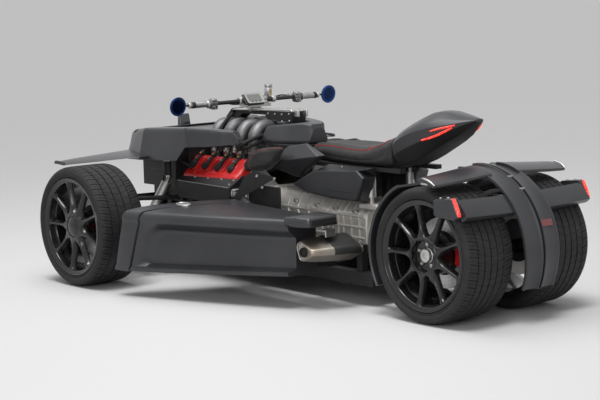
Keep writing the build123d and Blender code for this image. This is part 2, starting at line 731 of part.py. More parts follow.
# Front fairing: nose, deck, small screen and the two wings over the front wheels
nose_front_x = front_axle_x + front_overhang
nose_rear_x = front_axle_x + 215.0
nose_wall = 8.0
nose_low_z = 640.0
nose_rows = (
    {"x": nose_rear_x, "low_y": 484.0, "low_z": nose_low_z + 8, "top_y": 412.0, "top_z": 812.0},
    {"x": nose_front_x, "low_y": 300.0, "low_z": nose_low_z, "top_y": 250.0, "top_z": 742.0},
)
wing_thickness = 10.0
wing_root_y = 506.0
wing_tip_y = 986.0
wing_rows = (
    {"y": wing_root_y, "front": 212.0, "rear": -60.0, "z": 690.0},
    {"y": 760.0, "front": 186.0, "rear": -4.0, "z": 683.0},
    {"y": wing_tip_y, "front": 150.0, "rear": 60.0, "z": 675.0},
)
screen_x = front_axle_x + 285.0
screen_top_z = 872.0
screen_half = 36.0
screen_depth = 22.0
lamp_outline = ((112, 668), (240, 690), (226, 722), (132, 716))
lamp_centre = (178, 699)
lens_share = 0.86


def lens_points(side, share):
    # lamp outline drawn towards its middle
    cy, cz = lamp_centre
    return [(side * (cy + (y - cy) * share), cz + (z - cz) * share) for y, z in lamp_outline]


with BuildPart() as front_fairing:
    for row in nose_rows:
        with BuildSketch(Plane.YZ.offset(row["x"])):
            Polygon(
                (-row["low_y"], row["low_z"]),
                (row["low_y"], row["low_z"]),
                (row["top_y"], row["top_z"]),
                (-row["top_y"], row["top_z"]),
            )
    loft(ruled=True)
    for row, shift in zip(nose_rows, (-1, -nose_wall)):
        with BuildSketch(Plane.YZ.offset(row["x"] + shift)):
            Polygon(
                (nose_wall - row["low_y"], row["low_z"] - nose_wall),
                (row["low_y"] - nose_wall, row["low_z"] - nose_wall),
                (row["top_y"] - nose_wall, row["top_z"] - nose_wall),
                (nose_wall - row["top_y"], row["top_z"] - nose_wall),
            )
    loft(ruled=True, mode=Mode.SUBTRACT)
    with Locations(((nose_rear_x + hoop_x) / 2, 0, deck_z - deck_thickness / 2)):
        Box(nose_rear_x - hoop_x + 60, 2 * hoop_y - 20, deck_thickness)
    for side in sides.values():
        for row in wing_rows:
            with BuildSketch(Plane.XZ.offset(-side * row["y"])):
                with Locations((front_axle_x, row["z"])):
                    Polygon(
                        (row["rear"], -wing_thickness / 2),
                        (row["front"], -wing_thickness / 2),
                        (row["front"], wing_thickness / 2),
                        (row["rear"], wing_thickness / 2),
                    )
        loft(ruled=True)
        root = wing_rows[0]
        with BuildSketch(Plane.XY.offset(root["z"] - wing_thickness / 2)):
            Polygon(
                (nose_front_x - 10, side * 300),
                (nose_rear_x + 4, side * 440),
                (nose_rear_x + 4, side * wing_root_y),
                (nose_rear_x - 80, side * wing_root_y),
                (nose_rear_x - 60, side * (wing_root_y + 60)),
                (front_axle_x + root["front"] - 8, side * (wing_root_y + 60)),
            )
        extrude(amount=wing_thickness)
        with BuildSketch(Plane.YZ.offset(nose_front_x - 2 * nose_wall)):
            Polygon(*lens_points(side, lens_share + 0.01))
        extrude(amount=4 * nose_wall, mode=Mode.SUBTRACT)
    with BuildSketch(Plane.XZ.offset(-screen_half)):
        with Locations((screen_x, 0)):
            Polygon((-screen_depth, 768), (0, screen_top_z), (screen_depth / 2, screen_top_z), (screen_depth, 768))
    extrude(amount=2 * screen_half)
pieces["front_fairing"] = front_fairing

with BuildPart() as headlamps:
    for side in sides.values():
        with BuildSketch(Plane.YZ.offset(nose_front_x - nose_wall)):
            Polygon(*lens_points(side, 1.0))
        extrude(amount=-50)
        with BuildSketch(Plane.YZ.offset(nose_front_x - nose_wall)):
            Polygon(*lens_points(side, lens_share))
        extrude(amount=nose_wall - 1)
pieces["headlamps"] = headlamps

# Side cowls: angle section following a few stations, one row each, x from the front axle
cowl_rows = (
    {"x": 210.0, "low_y": 500.0, "low_z": 645.0, "top_y": 430.0, "lip_y": 350.0, "drop": 48.0},
    {"x": 150.0, "low_y": 502.0, "low_z": 648.0, "top_y": 444.0, "lip_y": 350.0, "drop": 18.0},
    {"x": 10.0, "low_y": 502.0, "low_z": 655.0, "top_y": 462.0, "lip_y": 350.0, "drop": 0.0},
    {"x": -300.0, "low_y": 460.0, "low_z": 670.0, "top_y": 444.0, "lip_y": 346.0, "drop": 0.0},
    {"x": -352.0, "low_y": 440.0, "low_z": 743.0, "top_y": 434.0, "lip_y": 343.0, "drop": 0.0},
    {"x": -561.0, "low_y": 364.0, "low_z": 755.0, "top_y": 362.0, "lip_y": 300.0, "drop": 20.0},
    {"x": -640.0, "low_y": 304.0, "low_z": 790.0, "top_y": 300.0, "lip_y": 285.0, "drop": 44.0},
)
with BuildPart() as side_cowls:
    for row in cowl_rows:
        top_z = cowl_top_z - row["drop"]
        with BuildSketch(Plane.YZ.offset(front_axle_x + row["x"])):
            Polygon(
                (row["low_y"], row["low_z"]),
                (row["top_y"], top_z),
                (row["lip_y"], top_z),
                (row["lip_y"], top_z - cowl_wall),
                (row["top_y"] - cowl_wall, top_z - cowl_wall),
                (row["low_y"] - cowl_wall, row["low_z"]),
            )
    loft(ruled=True)
    mirror(about=Plane.XZ)
pieces["side_cowls"] = side_cowls

# Side pods: closed housings, front end swept back and raked, flank hollowed behind a band, foot ledge, heel guard
pod_low_z = 138.0
pod_top_z = 498.0
pod_rows = (
    {"share": 1.0, "out_y": 984.0, "top_z": pod_top_z, "crease_z": 447.0, "low_z": pod_low_z},
    {"share": 0.869, "out_y": 964.0, "top_z": 494.0, "crease_z": 447.0, "low_z": 140.0},
    {"share": 0.673, "out_y": 893.0, "top_z": 486.0, "crease_z": 447.0, "low_z": 147.0},
    {"share": 0.3, "out_y": 750.0, "top_z": 471.0, "crease_z": 447.0, "low_z": 160.0},
    {"share": 0.0, "out_y": 624.0, "top_z": 461.0, "crease_z": 447.0, "low_z": 172.0},
)
# Front edge seen from above at the shoulder: y and how far it lies behind the foremost point
pod_sweep = ((pod_inner_y - 10, 334.0), (544.0, 270.0), (660.0, 208.0), (755.0, 153.0), (830.0, 108.0), (900.0, 82.0), (1000.0, 72.0))
pod_rake = 74.0
pod_rake_z = 447.0
flank_depth = 44.0
flank_clear = 30.0
flank_band = 70.0
flank_taper = 24.0
ledge_height = 34.0
heel_low_z = 428.0
heel_height = 48.0
heel_length = 142.0
heel_outline = ((-heel_length, 418), (-heel_length, 606), (-45, 642), (0, 632), (20, 632), (20, 418))
for side_name, side in sides.items():
    with BuildPart() as side_pod:
        for row in pod_rows:
            out = row["out_y"]
            points = (
                (pod_inner_y, row["top_z"]),
                (out - 70, row["crease_z"] + 22),
                (out, row["crease_z"]),
                (out, row["low_z"] + 26),
                (out - 6, row["low_z"]),
                (pod_inner_y, row["low_z"]),
            )
            with BuildSketch(Plane.YZ.offset(pod_rear_x + row["share"] * pod_run)):
                Polygon(*[(side * y, z) for y, z in points])
        loft(ruled=True)
        for z in (pod_low_z - 20, pod_top_z + 20):
            lean = pod_rake * (pod_rake_z - z) / (pod_rake_z - pod_low_z)
            edge = [(pod_front_x - back + lean, side * y) for y, back in pod_sweep]
            with BuildSketch(Plane.XY.offset(z)):
                Polygon((pod_front_x + 200, side * 1000), (pod_front_x + 200, side * (pod_inner_y - 10)), *edge)
        loft(ruled=True, mode=Mode.SUBTRACT)
        # hollow of the flank, drawn on a plane along the line of the crease
        far, near = pod_rows[4], pod_rows[1]
        run = Vector((near["share"] - far["share"]) * pod_run, side * (near["out_y"] - far["out_y"]), 0)
        flank_plane = Plane(
            origin=(pod_rear_x, side * (far["out_y"] + flank_clear), 0), x_dir=run, z_dir=run.cross(Vector(0, 0, 1)) * side
        )
        reach = run.length - flank_band
        up = pod_rake_z
        low = pod_low_z + ledge_height
        rake_run = pod_rake * (up - low) / (pod_rake_z - pod_low_z)
        with BuildSketch(flank_plane):
            Polygon(*[(u, v * side) for u, v in ((-60, low + 30), (reach + rake_run, low), (reach, up), (-60, up))])
        extrude(amount=flank_clear + flank_depth, taper=flank_taper, mode=Mode.SUBTRACT)
        with BuildSketch(Plane.XY.offset(heel_low_z)):
            with Locations((pod_rear_x, 0)):
                Polygon(*[(x, side * y) for x, y in heel_outline])
        extrude(amount=heel_height)
    pieces["side_pod_" + side_name] = side_pod

# Tank cover, side panels, knee pads
cover_top_z = 858.0
with BuildPart() as tank_cover:
    tank_mid = (tray_rear + tray_front) / 2
    tank_length = tray_front - tray_rear
    with BuildSketch(Plane.XY.offset(tray_z)):
        with Locations((tank_mid, 0)):
            RectangleRounded(tank_length - 4, 2 * tray_half - 14, 70)
    with BuildSketch(Plane.XY.offset(cover_top_z)):
        with Locations((tank_mid, 0)):
            RectangleRounded(tank_length - 60, 2 * tray_half - 94, 60)
    loft()
pieces["tank_cover"] = tank_cover

# outlines of panels and boxes: share of the seat rail's run, height
panel_outline = ((1.011, 760), (0.838, 784), (0.661, 730), (0.898, 606), (1.173, 654))
panel_depth = 70.0
panel_outer_y = tray_half + panel_depth
with BuildPart() as side_panels:
    panel_plane = Plane(origin=(seat_rail_rear, tray_half, 0), x_dir=(-1, 0, 0), z_dir=(0, 1, 0))
    with BuildSketch(panel_plane):
        Polygon(*[(-share * seat_rail_run, z) for share, z in panel_outline])
    extrude(amount=panel_outer_y - tray_half)
    upper_edges = side_panels.faces().sort_by(Axis.Y)[-1].edges().sort_by(Axis.Z)[-2:]
    chamfer(upper_edges, 50, 40)
    mirror(about=Plane.XZ)
pieces["side_panels"] = side_panels

pad_rear_x = tray_rear + 22.0
pad_front_x = engine_rear_x - 6.0
with BuildPart() as knee_pads:
    with BuildSketch(Plane.YZ.offset(pad_rear_x)):
        Polygon((panel_outer_y, 735), (panel_outer_y + 22, 738), (panel_outer_y + 22, 752), (panel_outer_y, 758))
    with BuildSketch(Plane.YZ.offset(pad_front_x)):
        Polygon((panel_outer_y, 618), (panel_outer_y + 108, 622), (panel_outer_y + 84, 712), (panel_outer_y, 728))
    loft(ruled=True)
    mirror(about=Plane.XZ)
pieces["knee_pads"] = knee_pads

# Seat: one row per station, share of its run from the tail to the tray
seat_rows = (
    {"share": 1.0, "half": 96.0, "top_z": 772.0},
    {"share": 0.768, "half": 128.0, "top_z": 786.0},
    {"share": 0.402, "half": 172.0, "top_z": 782.0},
    {"share": 0.177, "half": 168.0, "top_z": 806.0},
    {"share": 0.0, "half": 150.0, "top_z": 858.0},
)
tail_front_x = rear_axle_x + 474.0
seat_gap = 9.0
seat_run = tray_rear - seat_gap - tail_front_x
with BuildPart() as seat:
    for row in seat_rows:
        half = row["half"]
        top = row["top_z"]
        with BuildSketch(Plane.YZ.offset(tail_front_x + row["share"] * seat_run)):
            Polygon(
                (-half + 12, seat_base_z),
                (half - 12, seat_base_z),
                (half, seat_base_z + 25),
                (half - 6, top - 26),
                (half - 40, top),
                (40 - half, top),
                (6 - half, top - 26),
                (-half, seat_base_z + 25),
            )
    loft(ruled=True)
pieces["seat"] = seat

# Tail: one row per station, x from the rear axle
tail_rows = (
    {"x": 474.0, "half": 150.0, "low_z": 690.0, "edge_z": 804.0, "top_z": 866.0, "top_half": 98.0},
    {"x": 390.0, "half": 153.0, "low_z": 722.0, "edge_z": 856.0, "top_z": 920.0, "top_half": 80.0},
    {"x": 275.0, "half": 148.0, "low_z": 776.0, "edge_z": 892.0, "top_z": 974.0, "top_half": 57.0},
    {"x": 227.0, "half": 142.0, "low_z": 800.0, "edge_z": 905.0, "top_z": 985.0, "top_half": 50.0},
    {"x": 110.0, "half": 108.0, "low_z": 862.0, "edge_z": 928.0, "top_z": 971.0, "top_half": 42.0},
    {"x": 16.0, "half": 56.0, "low_z": 914.0, "edge_z": 943.0, "top_z": 957.0, "top_half": 30.0},
)
with BuildPart() as tail_unit:
    for row in tail_rows:
        half = row["half"]
        with BuildSketch(Plane.YZ.offset(rear_axle_x + row["x"])):
            waist_z = row["edge_z"] - 0.3 * (row["edge_z"] - row["low_z"])
            Polygon(
                (-half * 0.62, row["low_z"]),
                (half * 0.62, row["low_z"]),
                (half * 0.96, waist_z),
                (half, row["edge_z"]),
                (row["top_half"], row["top_z"]),
                (-row["top_half"], row["top_z"]),
                (-half, row["edge_z"]),
                (-half * 0.96, waist_z),
            )
    loft(ruled=True)
pieces["tail_unit"] = tail_unit

# Seat boxes on the sides of the seat frame
box_outline = ((0.907, 569), (0.602, 703), (0.187, 706), (0.207, 640), (0.278, 517), (0.534, 515), (0.778, 535))
box_outer_y = seat_rail_outer + panel_depth + tray_lip
with BuildPart() as seat_boxes:
    box_plane = Plane(origin=(seat_rail_rear, seat_rail_outer, 0), x_dir=(-1, 0, 0), z_dir=(0, 1, 0))
    with BuildSketch(box_plane):
        Polygon(*[(-share * seat_rail_run, min(z, seat_base_z - 2)) for share, z in box_outline])
    extrude(amount=box_outer_y - seat_rail_outer)
    with Locations((rear_shock_x, rear_shock_y, gearbox_top_z + shock_height / 2)):
        Cylinder(rear_shock_radius + 5, 2 * shock_height, mode=Mode.SUBTRACT)
    mirror(about=Plane.XZ)
pieces["seat_boxes"] = seat_boxes

# Rear mudguards in front of the rear wheels
mudguard_inner_y = 118.0
mudguard_outer_y = 424.0
with BuildPart() as rear_mudguards:
    with BuildSketch(radial_plane(rear_axle_x, 66)):
        with Locations(((mudguard_inner_y + mudguard_outer_y) / 2, mudguard_radius + mudguard_wall / 2)):
            Rectangle(mudguard_outer_y - mudguard_inner_y, mudguard_wall)
    revolve(axis=wheel_axis(rear_axle_x), revolution_arc=96)
    mirror(about=Plane.XZ)
pieces["rear_mudguards"] = rear_mudguards

# Rear fender: arch between the wheels with a sunk seam, upper wings, lamp bars with end caps
fender_half = 118.0
seam_half = 5.5
seam_depth = 6.0
lip_half = 18.0
bar_depth = 42.0
bar_inner_radius = fender_radius + 3 - bar_depth
bar_cap_y = 426.0
bar_tip_y = 462.0
bar_start = 148.0
bar_arc = 16.0
# Wing: one row per end, y, front and rear angle about the axle, radius beyond the fender
fender_wing_rows = (
    {"y": 100.0, "front": 93.0, "rear": 113.5, "rise": 4.0},
    {"y": 456.0, "front": 93.0, "rear": 112.0, "rise": -26.0},
)
fender_wing_wall = 14.0


def about_axle(radius, angle):
    # point of a side view, from the rear axle's place along X
    return (radius * cos(radians(angle)), axle_z + radius * sin(radians(angle)))


# Cap: radius from the fender's inside, angle about the axle
cap_outline = [
    about_axle(fender_radius + rise, angle)
    for rise, angle in ((-70.4, 114.1), (12.0, 130.4), (-18.4, 143.6), (-57.6, 142.9), (-139.7, 122.4))
]
with BuildPart() as rear_fender:
    crown = fender_radius + fender_wall
    with BuildSketch(radial_plane(rear_axle_x, 205)):
        Polygon(
            (0, fender_radius),
            (fender_half, fender_radius),
            (fender_half, crown - 4),
            (lip_half, crown),
            (lip_half, rear_overhang),
            (seam_half, rear_overhang),
            (seam_half, crown - seam_depth),
            (0, crown - seam_depth),
        )
    revolve(axis=wheel_axis(rear_axle_x), revolution_arc=122)
    for row in fender_wing_rows:
        base = fender_radius + row["rise"]
        middle = (row["front"] + row["rear"]) / 2
        with BuildSketch(Plane.XZ.offset(-row["y"])):
            with Locations((rear_axle_x, 0)):
                Polygon(
                    about_axle(base, row["front"]),
                    about_axle(base, middle),
                    about_axle(base, row["rear"]),
                    about_axle(base + fender_wing_wall, row["rear"]),
                    about_axle(base + fender_wing_wall, middle),
                    about_axle(base + fender_wing_wall, row["front"]),
                )
    loft(ruled=True)
    with BuildSketch(radial_plane(rear_axle_x, bar_start)):
        with Locations(((100 + bar_cap_y) / 2 + 2, bar_inner_radius + bar_depth / 2)):
            Rectangle(bar_cap_y - 96, bar_depth)
    revolve(axis=wheel_axis(rear_axle_x), revolution_arc=bar_arc)
    with BuildSketch(Plane.XZ.offset(-bar_tip_y)):
        with Locations((rear_axle_x, 0)):
            Polygon(*cap_outline)
    extrude(amount=bar_tip_y - bar_cap_y)
    mirror(about=Plane.XZ)
pieces["rear_fender"] = rear_fender

lamp_depth = 8.0
lamp_run = Vector(cap_outline[2][0] - cap_outline[1][0], cap_outline[2][1] - cap_outline[1][1])
lamp_out = Vector(lamp_run.Y, -lamp_run.X).normalized() * lamp_depth
with BuildPart() as rear_lamps:
    with BuildSketch(Plane.XZ.offset(-bar_tip_y)):
        with Locations((rear_axle_x, 0)):
            Polygon(
                cap_outline[1],
                cap_outline[2],
                (cap_outline[2][0] + lamp_out.X, cap_outline[2][1] + lamp_out.Y),
                (cap_outline[1][0] + lamp_out.X, cap_outline[1][1] + lamp_out.Y),
            )
    extrude(amount=bar_tip_y - bar_cap_y - 6)
    mirror(about=Plane.XZ)
pieces["rear_lamps"] = rear_lamps

# Steering bridge over the engine, with the bearing of the steering stem
rake = 6.0
steer_x = front_axle_x - 400.0
steer_z = 925.0
steer_plane = Plane(
    origin=(steer_x, 0, steer_z),
    x_dir=(cos(radians(rake)), 0, sin(radians(rake))),
    z_dir=(-sin(radians(rake)), 0, cos(radians(rake))),
)
stem_radius = 18.0
boss_radius = 36.0
bridge_half = 45.0
bridge_outline = (
    (-760, cover_top_z),
    (-690, cover_top_z),
    (-640, 878),
    (-330, 906),
    (-165, deck_z),
    (-105, deck_z),
    (-250, 932),
    (-760, 890),
)
with BuildPart() as steering_bridge:
    with BuildSketch(Plane.XZ.offset(-bridge_half)):
        with Locations((front_axle_x, 0)):
            Polygon(*bridge_outline)
    extrude(amount=2 * bridge_half)
    with Locations((front_axle_x - 725, 0, cover_top_z + 18)):
        Box(70, 210, 36)
    with Locations(steer_plane):
        Cylinder(boss_radius, 24)
        Cylinder(stem_radius + running_gap, 200, mode=Mode.SUBTRACT)
pieces["steering_bridge"] = steering_bridge

# Steered set, drawn in the frame of the stem: x forward, z along the stem
bar_height = 52.0
bar_radius = 11.0
grip_radius = 17.0
grip_inner_y = 330.0
grip_outer_y = 448.0
clamp_low = 18.0
clamp_top = 34.0
with BuildPart(steer_plane) as steering_column:
    with Locations((0, 0, (clamp_low - 16) / 2)):
        Cylinder(stem_radius, clamp_low + 16 + 8)
    with Locations((0, 0, (clamp_low + clamp_top) / 2)):
        Box(60, 180, clamp_top - clamp_low)
pieces["steering_column"] = steering_column

with BuildPart(steer_plane) as handlebar:
    with Locations(Location((0, 0, bar_height), (90, 0, 0))):
        Cylinder(bar_radius, 2 * grip_outer_y)
    with Locations((0, 55, (clamp_top + bar_height) / 2 + 3), (0, -55, (clamp_top + bar_height) / 2 + 3)):
        Box(36, 34, bar_height - clamp_top + 6)
    with Locations(Location((0, 0, bar_height), (90, 0, 0))):
        Cylinder(bar_radius + 5, 160)
pieces["handlebar"] = handlebar

grip_mid = (grip_inner_y + grip_outer_y) / 2
with BuildPart(steer_plane) as grips:
    with Locations(
        Location((0, grip_mid, bar_height), (90, 0, 0)), Location((0, -grip_mid, bar_height), (90, 0, 0))
    ):
        Cylinder(grip_radius, grip_outer_y - grip_inner_y)
        Cylinder(bar_radius + running_gap, 2 * grip_outer_y, mode=Mode.SUBTRACT)
pieces["grips"] = grips

perch_y = 300.0
lever_reach = 66.0
lever_width = 14.0
lever_length = 150.0
reservoir_y = 125.0
with BuildPart(steer_plane) as controls:
    for side in sides.values():
        with Locations(Location((0, side * perch_y, bar_height), (90, 0, 0))):
            Cylinder(20, 42)
        with Locations(((lever_reach - lever_width / 2) / 2, side * perch_y, bar_height)):
            Box(lever_reach - lever_width / 2, 30, 18)
    with Locations(Location((0, -reservoir_y, bar_height), (90, 0, 0))):
        Cylinder(18, 24)
    with Locations((24, -reservoir_y, bar_height)):
        Box(30, 18, 18)
    with Locations((44, -reservoir_y, bar_height + 42)):
        Cylinder(22, 70)
    with Locations((34, -reservoir_y, bar_height)):
        Box(30, 18, 18)
    with Locations(Location((0, 0, bar_height), (90, 0, 0))):
        Cylinder(bar_radius + running_gap, 3 * grip_outer_y, mode=Mode.SUBTRACT)
pieces["controls"] = controls

with BuildPart(steer_plane) as levers:
    for side in sides.values():
        with Locations((lever_reach, side * (perch_y + lever_length * 0.4), bar_height)):
            Box(lever_width, lever_length, 10)
pieces["levers"] = levers

mirror_y = 539.0
mirror_radius = 52.0
with BuildPart(steer_plane) as mirrors:
    for side in sides.values():
        with Locations(Location((0, side * (grip_outer_y + 9), bar_height), (90, 0, 0))):
            Cylinder(15, 18)
        with Locations((0, side * (grip_outer_y + 28), bar_height)):
            Box(10, 40, 10)
        with Locations(Location((0, side * mirror_y, bar_height), (0, 90, 0))):
            Cylinder(mirror_radius, 14)
pieces["mirrors"] = mirrors

with BuildPart(steer_plane) as dash:
    with Locations((45, 20, clamp_top + 8)):
        Box(54, 24, 16)
    with Locations(Location((66, 40, bar_height + 14), (0, -35, 0))):
        Box(64, 110, 16)
    with Locations((62, 28, (clamp_top + bar_height) / 2 + 6)):
        Box(16, 30, bar_height - clamp_top + 12)
pieces["dash"] = dash

os.makedirs("parts", exist_ok=True)
for label, piece in pieces.items():
    piece.part.label = label
    export_step(piece.part, "parts/" + label + ".step")
print("pieces", len(pieces))
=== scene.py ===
import bpy
import bmesh
import json
import math
from mathutils import Matrix, Vector
from mathutils.bvhtree import BVHTree
from mathutils.kdtree import KDTree


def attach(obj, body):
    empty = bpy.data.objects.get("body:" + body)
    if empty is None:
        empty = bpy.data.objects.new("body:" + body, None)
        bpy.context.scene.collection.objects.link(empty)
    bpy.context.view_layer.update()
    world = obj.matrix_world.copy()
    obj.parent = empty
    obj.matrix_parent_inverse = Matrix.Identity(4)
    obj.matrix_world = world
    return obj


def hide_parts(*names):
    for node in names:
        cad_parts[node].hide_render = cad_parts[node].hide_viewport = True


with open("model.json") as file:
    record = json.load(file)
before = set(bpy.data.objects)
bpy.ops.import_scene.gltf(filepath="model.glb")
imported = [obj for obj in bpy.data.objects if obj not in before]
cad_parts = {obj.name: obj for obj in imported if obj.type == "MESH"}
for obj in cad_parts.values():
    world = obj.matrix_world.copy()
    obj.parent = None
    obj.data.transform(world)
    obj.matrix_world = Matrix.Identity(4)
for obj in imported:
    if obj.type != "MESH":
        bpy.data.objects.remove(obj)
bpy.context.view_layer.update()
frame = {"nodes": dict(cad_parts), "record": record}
rearAxleX, frontAxleX, axleZ = -1.052, 1.108, 0.33
print("frame loaded", len(frame["nodes"]), "nodes")

camera = {"place": (-6.7594, 5.8763, 1.6562), "yaw": -0.6919, "pitch": 0.1313, "roll": -0.0268, "lens": 101.26}


def addCamera():
    yaw, pitch, roll = camera["yaw"], camera["pitch"], camera["roll"]
    ahead = Vector((math.cos(pitch) * math.cos(yaw), math.cos(pitch) * math.sin(yaw), -math.sin(pitch)))
    level = ahead.cross(Vector((0, 0, 1))).normalized()
    rise = level.cross(ahead)
    right = level * math.cos(roll) + rise * math.sin(roll)
    up = rise * math.cos(roll) - level * math.sin(roll)
    data = bpy.data.cameras.new("camera")
    data.lens = camera["lens"]
    data.sensor_width = 36.0
    data.clip_end = 1500.0
    obj = linked("camera", data)
    turn = Matrix((right, up, -ahead)).transposed().to_4x4()
    obj.matrix_world = Matrix.Translation(Vector(camera["place"])) @ turn
    bpy.context.scene.camera = obj


# shader maths: a wire is one socket, a finish is one material
class Wire:
    def __init__(self, finish, socket):
        self.finish = finish
        self.socket = socket

    def calc(self, operation, *others):
        values = {0: self}
        for index, other in enumerate(others):
            values[index + 1] = other
        return self.finish.add("ShaderNodeMath", {"operation": operation}, values)

    def __add__(self, other):
        return self.calc("ADD", other)

    def __sub__(self, other):
        return self.calc("SUBTRACT", other)

    def __rsub__(self, other):
        return self.finish.add("ShaderNodeMath", {"operation": "SUBTRACT"}, {0: other, 1: self})

    def __mul__(self, other):
        return self.calc("MULTIPLY", other)

    __radd__ = __add__
    __rmul__ = __mul__

    def soft(self, low, high):
        return self.finish.add(
            "ShaderNodeMapRange", {"interpolation_type": "SMOOTHSTEP", "clamp": True}, {0: self, 1: low, 2: high, 3: 0.0, 4: 1.0}
        )


class Finish:
    def __init__(self, name, **fixed):
        self.material = bpy.data.materials.new(name)
        self.material.use_nodes = True
        self.tree = self.material.node_tree
        self.shader = self.tree.nodes["Principled BSDF"]
        for key, value in fixed.items():
            self.shader.inputs[key.replace("_", " ")].default_value = value

    def add(self, kind, settings, values, output=0):
        node = self.tree.nodes.new(kind)
        for key, value in settings.items():
            if key == "stops":
                while len(node.color_ramp.elements) < len(value):
                    node.color_ramp.elements.new(0.5)
                for stop, (place, colour) in zip(node.color_ramp.elements, value):
                    stop.position = place
                    stop.color = (*colour, 1)
            else:
                setattr(node, key, value)
        for key, value in values.items():
            if isinstance(value, Wire):
                self.tree.links.new(value.socket, node.inputs[key])
            else:
                node.inputs[key].default_value = value
        return Wire(self, node.outputs[output])

    def place(self, centre=(0, 0, 0), turn=(0, 0, 0), scale=(1, 1, 1)):
        point = self.add("ShaderNodeTexCoord", {}, {}, output="Object")
        moved = self.add("ShaderNodeVectorMath", {"operation": "SUBTRACT"}, {0: point, 1: centre})
        return self.add("ShaderNodeMapping", {"vector_type": "POINT"}, {0: moved, "Rotation": turn, "Scale": scale})

    def noise(self, point, scale, detail=4.0, rough=0.55):
        return self.add("ShaderNodeTexNoise", {}, {"Vector": point, "Scale": scale, "Detail": detail, "Roughness": rough})

    def cells(self, point, scale, feature="F1"):
        return self.add("ShaderNodeTexVoronoi", {"feature": feature}, {"Vector": point, "Scale": scale})

    def texture(self, point, kind, *sizes):
        return self.noise(point, *sizes) if kind == "noise" else self.cells(point, *sizes)

    def mix(self, factor, first, second):
        return self.add("ShaderNodeMix", {"data_type": "RGBA"}, {0: factor, 6: first, 7: second}, output=2)

    def bump(self, height, strength, distance, normal=None):
        values = {"Height": height, "Strength": strength, "Distance": distance}
        if normal:
            values["Normal"] = normal
        return self.add("ShaderNodeBump", {}, values)

    def feed(self, **wires):
        for key, wire in wires.items():
            self.tree.links.new(wire.socket, self.shader.inputs[key.replace("_", " ")])
        return self.material


def satinPaint():
    f = Finish("satinPaint", Coat_Weight=0.25, Coat_Roughness=0.3, Specular_IOR_Level=0.5)
    p = f.place()
    cloud = f.noise(p, 3.5, 5)
    flake = f.noise(p, 900, 2, 0.7)
    grime = f.noise(p, 22, 6, 0.65)
    colour = f.mix(cloud.soft(0.3, 0.75), (0.04, 0.041, 0.045, 1), (0.054, 0.055, 0.06, 1))
    colour = f.mix((grime.soft(0.62, 0.8)) * 0.25, colour, (0.075, 0.072, 0.068, 1))
    rough = 0.36 + (cloud - 0.5) * 0.1 + grime.soft(0.55, 0.8) * 0.1
    metal = 0.45 + flake.soft(0.45, 0.7) * 0.35
    return f.feed(Base_Color=colour, Roughness=rough, Metallic=metal, Normal=f.bump(flake, 0.06, 0.0004))


def glossBlack():
    f = Finish("glossBlack", Coat_Weight=0.35, Coat_Roughness=0.08, Specular_IOR_Level=0.35)
    p = f.place()
    dust = f.noise(p, 60, 6, 0.7)
    peel = f.noise(p, 420, 2)
    colour = f.mix(dust.soft(0.6, 0.82) * 0.35, (0.008, 0.008, 0.009, 1), (0.035, 0.033, 0.031, 1))
    rough = 0.22 + dust.soft(0.5, 0.8) * 0.25
    return f.feed(Base_Color=colour, Roughness=rough, Normal=f.bump(peel, 0.05, 0.0004))


def castAluminium():
    f = Finish("castAluminium", Metallic=1.0)
    p = f.place()
    grain = f.noise(p, 520, 4, 0.65)
    stain = f.noise(p, 9, 7, 0.62)
    pits = f.cells(p, 330)
    colour = f.mix(stain.soft(0.35, 0.75), (0.62, 0.61, 0.59, 1), (0.42, 0.41, 0.39, 1))
    colour = f.mix(stain.soft(0.66, 0.85) * 0.6, colour, (0.16, 0.14, 0.12, 1))
    rough = 0.38 + grain * 0.16 + stain.soft(0.6, 0.85) * 0.2
    height = grain * 0.6 + pits.soft(0.0, 0.25) * 0.4
    return f.feed(Base_Color=colour, Roughness=rough, Normal=f.bump(height, 0.22, 0.0009))


def polishedAluminium():
    f = Finish("polishedAluminium", Metallic=1.0)
    p = f.place()
    haze = f.noise(p, 30, 5)
    scratch = f.noise(f.place(scale=(1, 14, 1)), 160, 3)
    colour = f.mix(haze, (0.6, 0.6, 0.59, 1), (0.47, 0.47, 0.46, 1))
    return f.feed(Base_Color=colour, Roughness=0.32 + haze * 0.14, Normal=f.bump(scratch, 0.05, 0.0004))


def discSteel():
    f = Finish("discSteel", Metallic=1.0)
    p = f.place()
    haze = f.noise(p, 25, 5)
    rings = f.noise(f.place(scale=(0.02, 40, 0.02)), 60, 3)
    fine = f.noise(p, 700, 2)
    colour = f.mix(haze, (0.6, 0.59, 0.58, 1), (0.44, 0.43, 0.42, 1))
    return f.feed(Base_Color=colour, Roughness=0.26 + fine * 0.12, Normal=f.bump(rings + fine * 0.4, 0.08, 0.0004))


def wrinkleRed():
    f = Finish("wrinkleRed", Coat_Weight=0.2, Coat_Roughness=0.3)
    p = f.place()
    wrinkle = f.cells(p, 420, "SMOOTH_F1")
    fine = f.noise(p, 900, 3)
    dust = f.noise(p, 18, 6, 0.6)
    colour = f.mix(wrinkle.soft(0.1, 0.7), (0.42, 0.004, 0.005, 1), (0.6, 0.01, 0.01, 1))
    colour = f.mix(dust.soft(0.62, 0.82) * 0.35, colour, (0.2, 0.03, 0.025, 1))
    return f.feed(Base_Color=colour, Roughness=0.36 + dust * 0.18, Normal=f.bump(wrinkle + fine * 0.3, 0.25, 0.0008))


